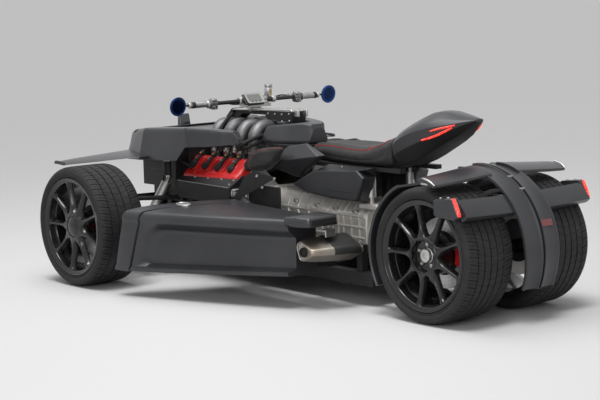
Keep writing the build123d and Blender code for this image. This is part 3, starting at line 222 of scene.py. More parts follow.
def tyreRubber():
    f = Finish("tyreRubber", Specular_IOR_Level=0.35)
    p = f.place()
    scuff = f.noise(p, 45, 6, 0.7)
    fine = f.noise(p, 800, 3, 0.6)
    dirt = f.noise(p, 7, 6, 0.6)
    colour = f.mix(scuff.soft(0.4, 0.75), (0.015, 0.015, 0.0155, 1), (0.027, 0.0265, 0.026, 1))
    colour = f.mix(dirt.soft(0.52, 0.8) * 0.45, colour, (0.05, 0.047, 0.042, 1))
    return f.feed(Base_Color=colour, Roughness=0.56 + scuff * 0.22, Normal=f.bump(fine + scuff, 0.15, 0.0007))


def seatLeather():
    f = Finish("seatLeather", Specular_IOR_Level=0.45)
    p = f.place()
    grain = f.cells(p, 330, "DISTANCE_TO_EDGE")
    crease = f.noise(p, 26, 6, 0.6)
    worn = f.noise(p, 6, 5)
    colour = f.mix(crease.soft(0.4, 0.8), (0.014, 0.0138, 0.0138, 1), (0.026, 0.025, 0.0245, 1))
    height = grain.soft(0.0, 0.14) + crease * 0.7
    return f.feed(Base_Color=colour, Roughness=0.44 + worn * 0.2, Normal=f.bump(height, 0.3, 0.0009))


def exhaustSteel():
    f = Finish("exhaustSteel", Metallic=1.0)
    p = f.place()
    heat = f.noise(p, 6, 6, 0.6)
    brushed = f.noise(f.place(scale=(12, 1, 12)), 90, 3)
    soot = f.noise(p, 26, 6, 0.65)
    colour = f.mix(heat.soft(0.3, 0.7), (0.36, 0.34, 0.315, 1), (0.3, 0.255, 0.2, 1))
    colour = f.mix(soot.soft(0.6, 0.85) * 0.6, colour, (0.1, 0.085, 0.075, 1))
    return f.feed(Base_Color=colour, Roughness=0.34 + soot * 0.2, Normal=f.bump(brushed, 0.1, 0.0005))


def lampRed():
    f = Finish("lampRed", Coat_Weight=1.0, Coat_Roughness=0.04, Emission_Strength=1.6)
    p = f.place()
    cell = f.cells(p, 120)
    glow = cell.soft(0.15, 0.6)
    colour = f.mix(glow, (0.6, 0.02, 0.012, 1), (0.35, 0.008, 0.008, 1))
    light = f.mix(glow, (0.95, 0.12, 0.05, 1), (0.55, 0.012, 0.01, 1))
    return f.feed(Base_Color=colour, Emission_Color=light, Roughness=0.12 + cell * 0.1, Normal=f.bump(cell, 0.2, 0.001))


def lampClear():
    f = Finish("lampClear", Coat_Weight=1.0, Coat_Roughness=0.03, Metallic=0.9)
    flute = f.noise(f.place(scale=(1, 30, 1)), 20, 1)
    colour = f.mix(flute, (0.8, 0.82, 0.85, 1), (0.55, 0.58, 0.62, 1))
    return f.feed(Base_Color=colour, Roughness=0.08 + flute * 0.12, Normal=f.bump(flute, 0.2, 0.002))


# finishes of two tones over one texture, with relief from another
plainFinishes = {
    "frameBlack": {
        "tone": ("noise", 14, 6, 0.6), "span": (0.5, 0.8), "gain": 0.5, "tones": ((0.012, 0.012, 0.013), (0.04, 0.038, 0.035)),
        "rough": (0.42, 0.22), "relief": ("noise", 650, 3, 0.6), "bump": (0.12, 0.0006), "fixed": {"Specular_IOR_Level": 0.4}
    },
    "mouldedBlack": {
        "tone": ("noise", 16, 6, 0.6), "span": (0.5, 0.82), "gain": 0.5, "tones": ((0.012, 0.012, 0.013), (0.036, 0.035, 0.033)),
        "rough": (0.48, 0.2), "relief": ("cells", 700), "bump": (0.12, 0.0005), "fixed": {"Specular_IOR_Level": 0.45}
    },
    "gripRubber": {
        "tone": ("noise", 30, 5), "tones": ((0.013, 0.013, 0.013), (0.028, 0.027, 0.026)), "rough": (0.62, 0.16), "relief": ("cells", 260),
        "bump": (0.35, 0.001), "fixed": {"Specular_IOR_Level": 0.35}
    },
    "seatSuede": {
        "tone": ("noise", 14, 5, 0.6), "span": (0.35, 0.7), "tones": ((0.02, 0.0195, 0.0195), (0.038, 0.037, 0.0365)), "rough": (0.86, 0.1),
        "relief": ("noise", 900, 3, 0.7), "bump": (0.4, 0.0012), "roughBy": "relief",
        "fixed": {"Sheen_Weight": 0.35, "Sheen_Roughness": 0.5, "Specular_IOR_Level": 0.2}
    },
    "redThread": {
        "tone": ("noise", 1400, 2), "tones": ((0.34, 0.006, 0.007), (0.56, 0.014, 0.014)), "rough": (0.6, 0.15), "bump": (0.3, 0.0004),
        "fixed": {"Specular_IOR_Level": 0.3}
    },
    "pipeBlack": {"tone": ("noise", 120, 5, 0.7), "tones": ((0.004, 0.004, 0.004), (0.014, 0.012, 0.011)), "rough": (0.75, 0.2), "fixed": {}},
    "blueMirror": {"tone": ("noise", 20, 4), "tones": ((0.01, 0.022, 0.07), (0.018, 0.04, 0.12)), "rough": (0.05, 0.05), "fixed": {"Metallic": 1.0}},
    "anodisedBlue": {
        "tone": ("noise", 300, 3), "tones": ((0.022, 0.055, 0.19), (0.035, 0.085, 0.27)), "rough": (0.26, 0.1), "fixed": {"Metallic": 1.0}
    },
    # raw cast aluminium, paler than castAluminium: partly the casting's own pale colour, partly painted light to
    # brighten the shaded gearbox
    "rawCastWithPaintedLight": {
        "tone": ("noise", 7, 6, 0.6), "span": (0.4, 0.8), "tones": ((0.8, 0.78, 0.74), (0.62, 0.6, 0.56)), "rough": (0.42, 0.16),
        "relief": ("noise", 480, 4, 0.65), "bump": (0.2, 0.0009), "roughBy": "relief", "fixed": {"Metallic": 0.75}
    },
    "reflectorRed": {
        "tone": ("cells", 260), "span": (0.1, 0.6), "tones": ((0.3, 0.006, 0.007), (0.13, 0.003, 0.004)), "rough": (0.15, 0.1),
        "bump": (0.3, 0.001), "fixed": {"Coat_Weight": 1.0, "Coat_Roughness": 0.05}
    },
    "darkScreen": {
        "tone": ("noise", 30, 5), "tones": ((0.008, 0.01, 0.012), (0.02, 0.024, 0.028)), "rough": (0.06, 0.12),
        "fixed": {"Coat_Weight": 1.0, "Coat_Roughness": 0.03}
    },
    "hoseRubber": {
        "tone": ("noise", 24, 5), "span": (0.4, 0.8), "tones": ((0.01, 0.01, 0.0105), (0.03, 0.029, 0.028)), "rough": (0.55, 0.2),
        "relief": ("cells", 520), "bump": (0.2, 0.0006), "fixed": {"Specular_IOR_Level": 0.35}
    },
    "zincBolt": {"tone": ("noise", 240, 4), "tones": ((0.55, 0.54, 0.52), (0.34, 0.33, 0.31)), "rough": (0.3, 0.2), "fixed": {"Metallic": 1.0}},
    "amberPlastic": {
        "tone": ("noise", 60, 4), "tones": ((0.55, 0.3, 0.03), (0.42, 0.2, 0.02)), "rough": (0.34, 0.16),
        "fixed": {"Coat_Weight": 0.4, "Coat_Roughness": 0.2}
    },
    "satinSleeve": {
        "tone": ("noise", 20, 5), "span": (0.35, 0.75), "tones": ((0.42, 0.42, 0.42), (0.3, 0.3, 0.3)), "rough": (0.34, 0.14),
        "relief": ("noise", 900, 3, 0.6), "bump": (0.1, 0.0005), "roughBy": "relief", "fixed": {"Metallic": 1.0}
    },
    "darkCast": {
        "tone": ("noise", 12, 6, 0.6), "span": (0.35, 0.75), "tones": ((0.21, 0.21, 0.215), (0.12, 0.12, 0.123)), "rough": (0.43, 0.18),
        "relief": ("noise", 620, 4, 0.65), "bump": (0.18, 0.0008), "roughBy": "relief", "fixed": {"Metallic": 0.85}
    },
    "lcdScreen": {
        "tone": ("noise", 80, 3), "tones": ((0.1, 0.11, 0.095), (0.15, 0.16, 0.14)), "rough": (0.2, 0.1),
        "fixed": {"Coat_Weight": 0.8, "Coat_Roughness": 0.05, "Emission_Strength": 0.25}, "glow": True
    },
}


def plainFinish(name):
    row = plainFinishes[name]
    f = Finish(name, **row["fixed"])
    p = f.place()
    tone = f.texture(p, *row["tone"])
    relief = f.texture(p, *row["relief"]) if "relief" in row else tone
    share = tone.soft(*row["span"]) if "span" in row else tone
    if "gain" in row:
        share = share * row["gain"]
    dark, light = row["tones"]
    base, swing = row["rough"]
    wires = {"Base_Color": f.mix(share, (*dark, 1), (*light, 1)), "Roughness": base + (relief if "roughBy" in row else tone) * swing}
    if "bump" in row:
        wires["Normal"] = f.bump(relief, *row["bump"])
    if "glow" in row:
        wires["Emission_Color"] = wires["Base_Color"]
    return f.feed(**wires)


finishes = {name: plainFinish(name) for name in plainFinishes}
for maker in (
    satinPaint, glossBlack, castAluminium, polishedAluminium, discSteel, wrinkleRed, tyreRubber, seatLeather, exhaustSteel,
    lampRed, lampClear,
):
    finishes[maker.__name__] = maker()
print("finishes made", len(finishes))
slotFinish = {
    "tyre_rubber": "tyreRubber", "rim_black": "glossBlack", "disc_steel": "discSteel", "cast_aluminium": "castAluminium",
    "signal_red": "wrinkleRed", "frame_black": "frameBlack", "coil_plastic": "mouldedBlack", "exhaust_steel": "exhaustSteel",
    "body_satin": "satinPaint", "lamp_clear": "lampClear", "leather_black": "seatLeather", "lamp_red": "lampRed",
    "grip_rubber": "gripRubber", "mirror_glass": "blueMirror",
}
for row in frame["record"]["subparts"]:
    node = frame["nodes"][row["node"]]
    node.data.materials.clear()
    node.data.materials.append(finishes[slotFinish[row["material_slot"]]])


# mesh helpers
def linked(name, data):
    obj = bpy.data.objects.new(name, data)
    bpy.context.scene.collection.objects.link(obj)
    return obj


def circle(count):
    return [2 * math.pi * s / count for s in range(count)]


def newPiece(name, verts, faces, finish=None, sharp=35):
    data = bpy.data.meshes.new(name)
    data.from_pydata([tuple(v) for v in verts], [], faces)
    data.validate()
    obj = linked(name, data)
    tidyMesh(obj, sharp)
    if finish:
        data.materials.append(finishes[finish])
    return obj


def tidyMesh(obj, sharp=35):
    work = bmesh.new()
    work.from_mesh(obj.data)
    bmesh.ops.remove_doubles(work, verts=work.verts, dist=1e-6)
    bmesh.ops.recalc_face_normals(work, faces=work.faces)
    work.to_mesh(obj.data)
    work.free()
    obj.data.polygons.foreach_set("use_smooth", [True] * len(obj.data.polygons))
    obj.data.set_sharp_from_angle(angle=math.radians(sharp))


def skin(rings, wrap=True, capStart=True, capEnd=True):
    count = len(rings[0])
    verts = [v for ring in rings for v in ring]
    faces = []
    last = count if wrap else count - 1
    for r in range(len(rings) - 1):
        for c in range(last):
            a, b = r * count + c, r * count + (c + 1) % count
            faces.append((a, b, b + count, a + count))
    if capStart:
        faces.append(tuple(range(count))[::-1])
    if capEnd:
        faces.append(tuple(range((len(rings) - 1) * count, len(rings) * count)))
    return verts, faces


noEnds = (False, False)


def skinned(name, rings, finish=None, sharp=35, wrap=True, ends=(True, True)):
    verts, faces = skin(rings, wrap, *ends)
    return newPiece(name, verts, faces, finish, sharp)


def roundCorners(points, radii, steps=5):
    # closed outline with each corner turned into an arc
    made = []
    count = len(points)
    for index, point in enumerate(points):
        here = Vector(point)
        before, after = Vector(points[index - 1]), Vector(points[(index + 1) % count])
        back, on = (before - here), (after - here)
        radius = radii[index] if isinstance(radii, (list, tuple)) else radii
        reach = min(radius, back.length * 0.46, on.length * 0.46)
        start, end = here + back.normalized() * reach, here + on.normalized() * reach
        for step in range(steps + 1):
            t = step / steps
            made.append(start * (1 - t) ** 2 + here * 2 * t * (1 - t) + end * t * t)
    return made


def easeRow(rows, x, key):
    # smooth value between the rows of a table, x falling or rising
    rows = sorted(rows, key=lambda row: row["x"])
    xs = [row["x"] for row in rows]
    ys = [row[key] for row in rows]
    x = min(max(x, xs[0]), xs[-1])
    i = max(n for n in range(len(xs) - 1) if xs[n] <= x + 1e-9)
    slopes = []
    for n in range(len(xs)):
        low, high = max(n - 1, 0), min(n + 1, len(xs) - 1)
        slopes.append((ys[high] - ys[low]) / (xs[high] - xs[low]))
    span = xs[i + 1] - xs[i]
    t = (x - xs[i]) / span
    h = (2 * t**3 - 3 * t**2 + 1, t**3 - 2 * t**2 + t, -2 * t**3 + 3 * t**2, t**3 - t**2)
    return h[0] * ys[i] + h[1] * span * slopes[i] + h[2] * ys[i + 1] + h[3] * span * slopes[i + 1]


def spun(profile, centre, steps, start=0.0, end=2 * math.pi):
    # rings of a profile of (Y, radius) turned about a wheel axis
    full = abs(end - start) > 6.28
    rings = []
    for step in range(steps if full else steps + 1):
        turn = start + (end - start) * step / steps
        rings.append([(centre[0] + r * math.cos(turn), y, centre[2] + r * math.sin(turn)) for y, r in profile])
    if full:
        rings.append(rings[0])
    return rings


def wheelTurned(name, profile, centre, side, steps, finish, sharp):
    return skinned(name, spun([(side * y, r) for y, r in profile], centre, steps), finish, sharp, ends=noEnds)


def mirrored(obj, name):
    data = obj.data.copy()
    for v in data.vertices:
        v.co.y = -v.co.y
    data.flip_normals()
    return linked(name, data)


def joined(name, parts):
    # several meshes in one piece, each keeping its own finish
    work = bmesh.new()
    slots = []
    for part in parts:
        materials = [m for m in part.data.materials]
        for m in materials:
            if m not in slots:
                slots.append(m)
        first = len(work.faces)
        work.from_mesh(part.data)
        work.faces.ensure_lookup_table()
        for face in work.faces[first:]:
            face.material_index = slots.index(materials[min(face.material_index, len(materials) - 1)])
    data = bpy.data.meshes.new(name)
    work.to_mesh(data)
    work.free()
    for m in slots:
        data.materials.append(m)
    obj = linked(name, data)
    for part in parts:
        bpy.data.objects.remove(part)
    return obj


def settle(obj, body, slotName, *nodes):
    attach(obj, body)
    if nodes:
        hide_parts(*nodes)
    return obj


def pair(make, name, body="chassis", slotName=None, nodes=()):
    # a left piece from its maker and the right one mirrored, in one object
    left = make(name)
    right = mirrored(left, name + "Right")
    both = joined(name, [left, right])
    return settle(both, body, slotName, *nodes)


def plainTube(path, radius, sides=12, finish=None, name="tube", closeEnds=True):
    # round tube along points, with a frame carried along the path
    points = [Vector(p) for p in path]
    rings = []
    normal = None
    for index, point in enumerate(points):
        ahead = (points[min(index + 1, len(points) - 1)] - points[max(index - 1, 0)]).normalized()
        if normal is None:
            normal = ahead.orthogonal().normalized()
        normal = (normal - ahead * normal.dot(ahead)).normalized()
        side = ahead.cross(normal)
        size = radius[index] if isinstance(radius, (list, tuple)) else radius
        rings.append([point + (normal * math.cos(a) + side * math.sin(a)) * size for a in circle(sides)])
    return skinned(name, rings, finish, 50, ends=(closeEnds, closeEnds))


def curvePoints(points, steps=8):
    # smooth line through points
    points = [Vector(p) for p in points]
    line = []
    for i in range(len(points) - 1):
        a, b = points[max(i - 1, 0)], points[i]
        c, d = points[i + 1], points[min(i + 2, len(points) - 1)]
        for s in range(steps):
            t = s / steps
            line.append(0.5 * ((2 * b) + (c - a) * t + (2 * a - 5 * b + 4 * c - d) * t * t + (3 * b - a - 3 * c + d) * t**3))
    line.append(points[-1])
    return line


def bevelled(obj, width, segments=2, angle=30):
    mod = obj.modifiers.new("edge", "BEVEL")
    mod.width = width
    mod.segments = segments
    mod.limit_method = "ANGLE"
    mod.angle_limit = math.radians(angle)
    mod.harden_normals = False
    return obj


def applied(obj):
    # modifiers turned into plain mesh
    graph = bpy.context.evaluated_depsgraph_get()
    data = bpy.data.meshes.new_from_object(obj.evaluated_get(graph))
    obj.modifiers.clear()
    obj.data = data
    return obj


def block(name, low, high, finish, edge=0.003, segments=2):
    (x0, y0, z0), (x1, y1, z1) = low, high
    verts = [(x, y, z) for x in (x0, x1) for y in (y0, y1) for z in (z0, z1)]
    faces = [(0, 1, 3, 2), (4, 6, 7, 5), (0, 4, 5, 1), (2, 3, 7, 6), (0, 2, 6, 4), (1, 5, 7, 3)]
    obj = newPiece(name, verts, faces, finish)
    return applied(bevelled(obj, edge, segments)) if edge else obj


def prism(name, outline, low, high, finish, axis="Y", edge=0.003, segments=2):
    # flat outline pushed along one axis, with bevelled edges
    def put(point, depth):
        u, v = point
        return {"Y": (u, depth, v), "X": (depth, u, v), "Z": (u, v, depth)}[axis]
    rings = [[put(p, low) for p in outline], [put(p, high) for p in outline]]
    obj = skinned(name, rings, finish)
    return applied(bevelled(obj, edge, segments)) if edge else obj


# node trees for what repeats
def newTree(name, sockets):
    tree = bpy.data.node_groups.new(name, "GeometryNodeTree")
    tree.interface.new_socket("Geometry", in_out="INPUT", socket_type="NodeSocketGeometry")
    for label, kind in sockets:
        tree.interface.new_socket(label, in_out="INPUT", socket_type=kind)
    tree.interface.new_socket("Geometry", in_out="OUTPUT", socket_type="NodeSocketGeometry")

    def put(kind, values, output=0, **settings):
        node = tree.nodes.new(kind)
        for key, value in settings.items():
            setattr(node, key, value)
        for key, value in values.items():
            if isinstance(value, bpy.types.NodeSocket):
                tree.links.new(value, node.inputs[key])
            else:
                node.inputs[key].default_value = value
        return node.outputs[output] if len(node.outputs) else None

    return tree, tree.nodes.new("NodeGroupInput").outputs, put


def aroundAxisTree():
    # copies of the piece turned about a line along Y
    tree, given, put = newTree("aroundAxis", [("Count", "NodeSocketInt"), ("Centre", "NodeSocketVector"), ("Finish", "NodeSocketMaterial")])
    back = put("ShaderNodeVectorMath", {0: given["Centre"], "Scale": -1}, operation="SCALE")
    home = put("GeometryNodeTransform", {"Geometry": given["Geometry"], "Translation": back})
    line = put("GeometryNodeMeshLine", {"Count": given["Count"], "Offset": (0, 0, 0)})
    share = put("ShaderNodeMath", {0: put("GeometryNodeInputIndex", {}), 1: given["Count"]}, operation="DIVIDE")
    angle = put("ShaderNodeMath", {0: share, 1: 2 * math.pi}, operation="MULTIPLY")
    turn = put("ShaderNodeCombineXYZ", {"Y": angle})
    copies = put("GeometryNodeInstanceOnPoints", {"Points": line, "Instance": home, "Rotation": turn})
    real = put("GeometryNodeRealizeInstances", {"Geometry": copies})
    away = put("GeometryNodeTransform", {"Geometry": real, "Translation": given["Centre"]})
    put("NodeGroupOutput", {"Geometry": put("GeometryNodeSetMaterial", {"Geometry": away, "Material": given["Finish"]})})
    return tree


def onPointsTree():
    # a source piece set on every point, turned to the point's own normal
    tree, given, put = newTree("onPoints", [("Source", "NodeSocketObject"), ("Scale", "NodeSocketFloat"), ("Finish", "NodeSocketMaterial")])
    piece = put("GeometryNodeObjectInfo", {"Object": given["Source"], "As Instance": True}, "Geometry")
    along, up = [put("GeometryNodeInputNamedAttribute", {"Name": label}, data_type="FLOAT_VECTOR") for label in ("along", "up")]
    first = put("FunctionNodeAlignRotationToVector", {"Vector": up}, axis="Z")
    second = put("FunctionNodeAlignRotationToVector", {"Rotation": first, "Vector": along}, axis="X", pivot_axis="Z")
    points = put("GeometryNodeMeshToPoints", {"Mesh": given["Geometry"]})
    size = put("ShaderNodeCombineXYZ", {axis: given["Scale"] for axis in "XYZ"})
    copies = put("GeometryNodeInstanceOnPoints", {"Points": points, "Instance": piece, "Rotation": second, "Scale": size})
    real = put("GeometryNodeRealizeInstances", {"Geometry": copies})
    put("NodeGroupOutput", {"Geometry": put("GeometryNodeSetMaterial", {"Geometry": real, "Material": given["Finish"]})})
    return tree


trees = {"aroundAxis": aroundAxisTree(), "onPoints": onPointsTree()}


def runTree(obj, treeName, **values):
    tree = trees[treeName]
    mod = obj.modifiers.new(treeName, "NODES")
    mod.node_group = tree
    for item in tree.interface.items_tree:
        if item.item_type == "SOCKET" and item.in_out == "INPUT" and item.name in values:
            mod[item.identifier] = values[item.name]
    bpy.context.view_layer.update()
    applied(obj)
    tidyMesh(obj, 40)
    return obj


def turned(obj, count, centre, finish):
    return runTree(obj, "aroundAxis", Count=count, Centre=centre, Finish=finishes[finish])


def scatter(name, places, source, scale, finish):
    # places: (point, up, along) for each copy
    data = bpy.data.meshes.new(name)
    data.from_pydata([tuple(p[0]) for p in places], [], [])
    for label, column in (("up", 1), ("along", 2)):
        values = data.attributes.new(label, "FLOAT_VECTOR", "POINT")
        values.data.foreach_set("vector", [c for p in places for c in tuple(p[column])])
    obj = linked(name, data)
    return runTree(obj, "onPoints", Source=source, Scale=scale, Finish=finishes[finish])


def boltHead():
    # socket screw of unit radius, standing on z = 0
    rings = []
    for radius, z in ((1.0, 0.0), (1.0, 0.75), (0.88, 0.9), (0.55, 0.9)):
        rings.append([(radius * math.cos(a), radius * math.sin(a), z) for a in [math.pi * s / 6 for s in range(12)]])
    for radius, z in ((0.52, 0.88), (0.5, 0.35)):
        rings.append([(radius * math.cos(a), radius * math.sin(a), z) for a in [math.pi * s / 6 for s in range(12)]])
    return skinned("boltSource", rings, "zincBolt", 30)


def stitchBead():
    # one thread stitch of unit length along X
    rings = []
    for x, r, z in ((-0.5, 0.02, 0.0), (-0.42, 0.13, 0.08), (0.0, 0.17, 0.15), (0.42, 0.13, 0.08), (0.5, 0.02, 0.0)):
        rings.append([(x, r * math.cos(a), z + r * math.sin(a)) for a in [math.pi * s / 3 for s in range(6)]])
    return skinned("stitchSource", rings, "redThread", 60)


sources = {"bolt": boltHead(), "stitch": stitchBead()}


def stitchLine(line, up, spacing=0.0065):
    # stitch places along a line, up given by a function of the point
    line = [Vector(p) for p in line]
    places = []
    carry = 0.0
    for a, b in zip(line, line[1:]):
        run = (b - a).length
        if run < 1e-9:
            continue
        at = carry
        while at < run:
            point = a + (b - a) * (at / run)
            places.append((point, up(point), (b - a).normalized()))
            at += spacing
        carry = at - run
    return places


# wheels: one dictionary, both axles from the same makers
wheel = {
    "tyreRadius": 0.33, "beadRadius": 0.2555, "flangeRadius": 0.2715, "pitches": 56, "grooveDepth": 0.0065, "spokes": 9,
    "front": {"x": frontAxleX, "outer": 1.005, "width": 0.285, "grooves": (0.062, 0.112, 0.162, 0.212), "hub": 0.078},
    "rear": {"x": rearAxleX, "outer": 0.42, "width": 0.305, "grooves": (0.058, 0.1, 0.142, 0.184, 0.226), "hub": 0.098},
}


def tyreSection(width, grooves):
    # (inset from the outer face, radius, kind) from the outer bead over the tread to the inner bead
    top, flange, bead = wheel["tyreRadius"], wheel["flangeRadius"], wheel["beadRadius"]
    wall = [
        (0.0175, bead), (0.017, flange + 0.001), (0.0085, flange + 0.0035), (0.0065, flange + 0.007), (0.009, flange + 0.011),
        (0.005, flange + 0.0155), (0.0022, 0.2945), (0.0012, 0.295), (0.0012, 0.2965), (0.0004, 0.2972), (0.0006, 0.304),
        (0.0022, 0.309), (0.0052, 0.314), (0.0095, 0.3185),
    ]
    section = [(inset, radius, "wall") for inset, radius in wall]
    section += [(0.015, 0.3228, "block"), (0.0215, 0.3258, "block"), (0.029, 0.3277, "block"), (0.04, 0.3288, "block")]
    crown = lambda inset: top - 0.0012 * (abs(inset - width / 2) / (width / 2)) ** 2
    for number, centre in enumerate(grooves):
        half = 0.0028 if number in (0, len(grooves) - 1) else 0.0042
        kind = "block" if number == 0 else "rib"
        before = (grooves[number - 1] + centre) / 2 if number else centre - 0.01
        section.append((before, crown(before), kind))
        for step, drop in ((-half, 0), (-half * 0.7, 1), (half * 0.7, 1), (half, 0)):
            section.append((centre + step, crown(centre + step) - drop * wheel["grooveDepth"], "groove" if drop else kind))
    last = grooves[-1]
    far = width - 0.04
    section.append(((last + far) / 2, crown((last + far) / 2), "block"))
    section += [(far, 0.3288, "block"), (width - 0.029, 0.3277, "block"), (width - 0.0215, 0.3258, "block"), (width - 0.015, 0.3228, "block")]
    section += [(width - inset, radius, "wall") for inset, radius in reversed(wall)]
    return section


def makeTyre(name, axle, side):
    size = wheel[axle]
    section = tyreSection(size["width"], size["grooves"])
    pitches = wheel["pitches"]
    steps = (0.0, 0.02, 0.12, 0.14, 0.56, 0.575, 0.605, 0.62)
    rings = []
    for pitch in range(pitches):
        for number, step in enumerate(steps):
            ring = []
            for inset, radius, kind in section:
                middle = abs(inset - size["width"] / 2) / (size["width"] / 2)
                skew = 0.75 * (1 - middle) + 0.25 * (1 - middle) ** 2
                turn = 2 * math.pi * (pitch + step + skew) / pitches
                cut = 0.0
                if kind == "block":
                    cut = 0.0048 if number in (1, 2) else (0.0024 if number in (5, 6) else 0.0)
                elif kind == "rib":
                    cut = 0.0022 if number in (5, 6) else 0.0
                ring.append(
                    (size["x"] + (radius - cut) * math.cos(turn), side * (size["outer"] - inset), axleZ + (radius - cut) * math.sin(turn))
                )
            rings.append(ring)
    rings.append(rings[0])
    return skinned(name, rings, "tyreRubber", 32, ends=noEnds)


def makeRim(name, axle, side):
    size = wheel[axle]
    x, outer, inner, hub = size["x"], size["outer"], size["outer"] - size["width"], size["hub"]
    bead, flange = 0.254, 0.2712
    centre = (x, 0, axleZ)
    lip = [
        (inner + 0.0085, bead - 0.012), (inner + 0.0085, flange - 0.004), (inner + 0.0105, flange), (inner + 0.015, flange),
        (inner + 0.016, flange - 0.003), (inner + 0.016, bead - 0.001), (inner + 0.06, bead - 0.001), (inner + 0.075, bead - 0.01),
        (outer - 0.075, bead - 0.01), (outer - 0.06, bead - 0.001), (outer - 0.016, bead - 0.001), (outer - 0.016, flange - 0.003),
        (outer - 0.015, flange), (outer - 0.0108, flange), (outer - 0.0082, flange - 0.0022), (outer - 0.0082, flange - 0.006),
        (outer - 0.0105, flange - 0.008), (outer - 0.0125, bead + 0.001), (outer - 0.0125, bead - 0.004), (outer - 0.017, bead - 0.01),
        (outer - 0.023, bead - 0.012), (outer - 0.056, bead - 0.014), (outer - 0.062, bead - 0.019), (inner + 0.075, bead - 0.019),
        (inner + 0.06, bead - 0.013),
    ]
    parts = [wheelTurned(name + "Barrel", lip, centre, side, 120, "glossBlack", 38)]
    # one spoke, ridge along X, then turned about the axle
    rings = []
    for step in range(19):
        t = step / 18
        r = hub - 0.022 + (0.2445 - hub + 0.022) * t
        root = math.exp(-max(r - hub * 0.86, 0) / 0.021)
        tip = math.exp(-(0.2445 - r) / 0.013)
        face = 0.0048 + 0.03 * root + 0.01 * tip
        back = face + 0.0105 + 0.004 * (1 - t)
        top = outer - (0.0195 if axle == "front" else 0.0165) - 0.006 * math.sin(math.pi * t)
        low = top - 0.03 + 0.004 * t
        edge = min(0.003, face * 0.5)
        ring = [
            (r, low, -back), (r, (low + top) / 2, -(face + back) / 2 - 0.001), (r, top - edge * 1.2, -face - 0.0008),
            (r, top - edge * 0.3, -face + edge * 0.5), (r, top, -face + edge * 1.4), (r, top + 0.0004, 0), (r, top, face - edge * 1.4),
            (r, top - edge * 0.3, face - edge * 0.5), (r, top - edge * 1.2, face + 0.0008), (r, (low + top) / 2, (face + back) / 2 + 0.001),
            (r, low, back), (r, low - 0.002, 0),
        ]
        rings.append([(x + a, side * y, axleZ + b) for a, y, b in ring])
    spoke = skinned(name + "Spoke", rings, "glossBlack", 40)
    parts.append(turned(spoke, wheel["spokes"], centre, "glossBlack"))
    deep = outer - 0.125
    if axle == "front":
        face = [
            (deep, 0.0305), (deep, hub), (outer - 0.05, hub), (outer - 0.034, hub - 0.001), (outer - 0.026, hub - 0.005),
            (outer - 0.0215, hub - 0.012), (outer - 0.0215, hub - 0.017), (outer - 0.0245, hub - 0.0185), (outer - 0.0225, hub - 0.021),
            (outer - 0.0165, hub - 0.03), (outer - 0.012, hub - 0.043), (outer - 0.0095, 0.018), (outer - 0.009, 0.0001),
            (outer - 0.066, 0.0001), (outer - 0.066, 0.0305),
        ]
    else:
        face = [
            (deep, 0.0305), (deep, hub), (outer - 0.05, hub), (outer - 0.03, hub - 0.001), (outer - 0.02, hub - 0.004),
            (outer - 0.015, hub - 0.008), (outer - 0.014, hub - 0.011), (outer - 0.0155, hub - 0.0145), (outer - 0.03, hub - 0.02),
            (outer - 0.048, hub - 0.026), (outer - 0.05, hub - 0.03), (outer - 0.05, 0.042), (outer - 0.056, 0.04), (outer - 0.056, 0.0305),
        ]
    parts.append(wheelTurned(name + "Hub", face, centre, side, 72, "glossBlack", 38))
    # wheel nuts round a silver centre nut
    if axle == "rear":
        nutCount, nutCircle, firstNut = 5, 0.054, 0.3
        turns = [2 * math.pi * (number + firstNut) / nutCount for number in range(nutCount)]
        bolts = [
            ((x + nutCircle * math.cos(a), side * (outer - 0.0505), axleZ + nutCircle * math.sin(a)), (0, side, 0), (1, 0, 0))
            for a in turns
        ]
        parts.append(scatter(name + "Nuts", bolts, sources["bolt"], 0.0092, "polishedAluminium"))
        nut = [
            (outer - 0.056, 0.039), (outer - 0.046, 0.039), (outer - 0.044, 0.036), (outer - 0.036, 0.0345), (outer - 0.03, 0.031),
            (outer - 0.0275, 0.024), (outer - 0.0275, 0.013), (outer - 0.034, 0.011), (outer - 0.034, 0.0001),
            (outer - 0.062, 0.0001), (outer - 0.062, 0.0302),
        ]
        parts.append(wheelTurned(name + "Nut", nut, centre, side, 36, "polishedAluminium", 30))
    valve = plainTube(
        [(x + 0.236, side * (outer - 0.062), axleZ - 0.01), (x + 0.222, side * (outer - 0.04), axleZ - 0.01)], 0.004, 10, "zincBolt",
        name + "Valve"
    )
    parts.append(valve)
    return joined(name, parts)


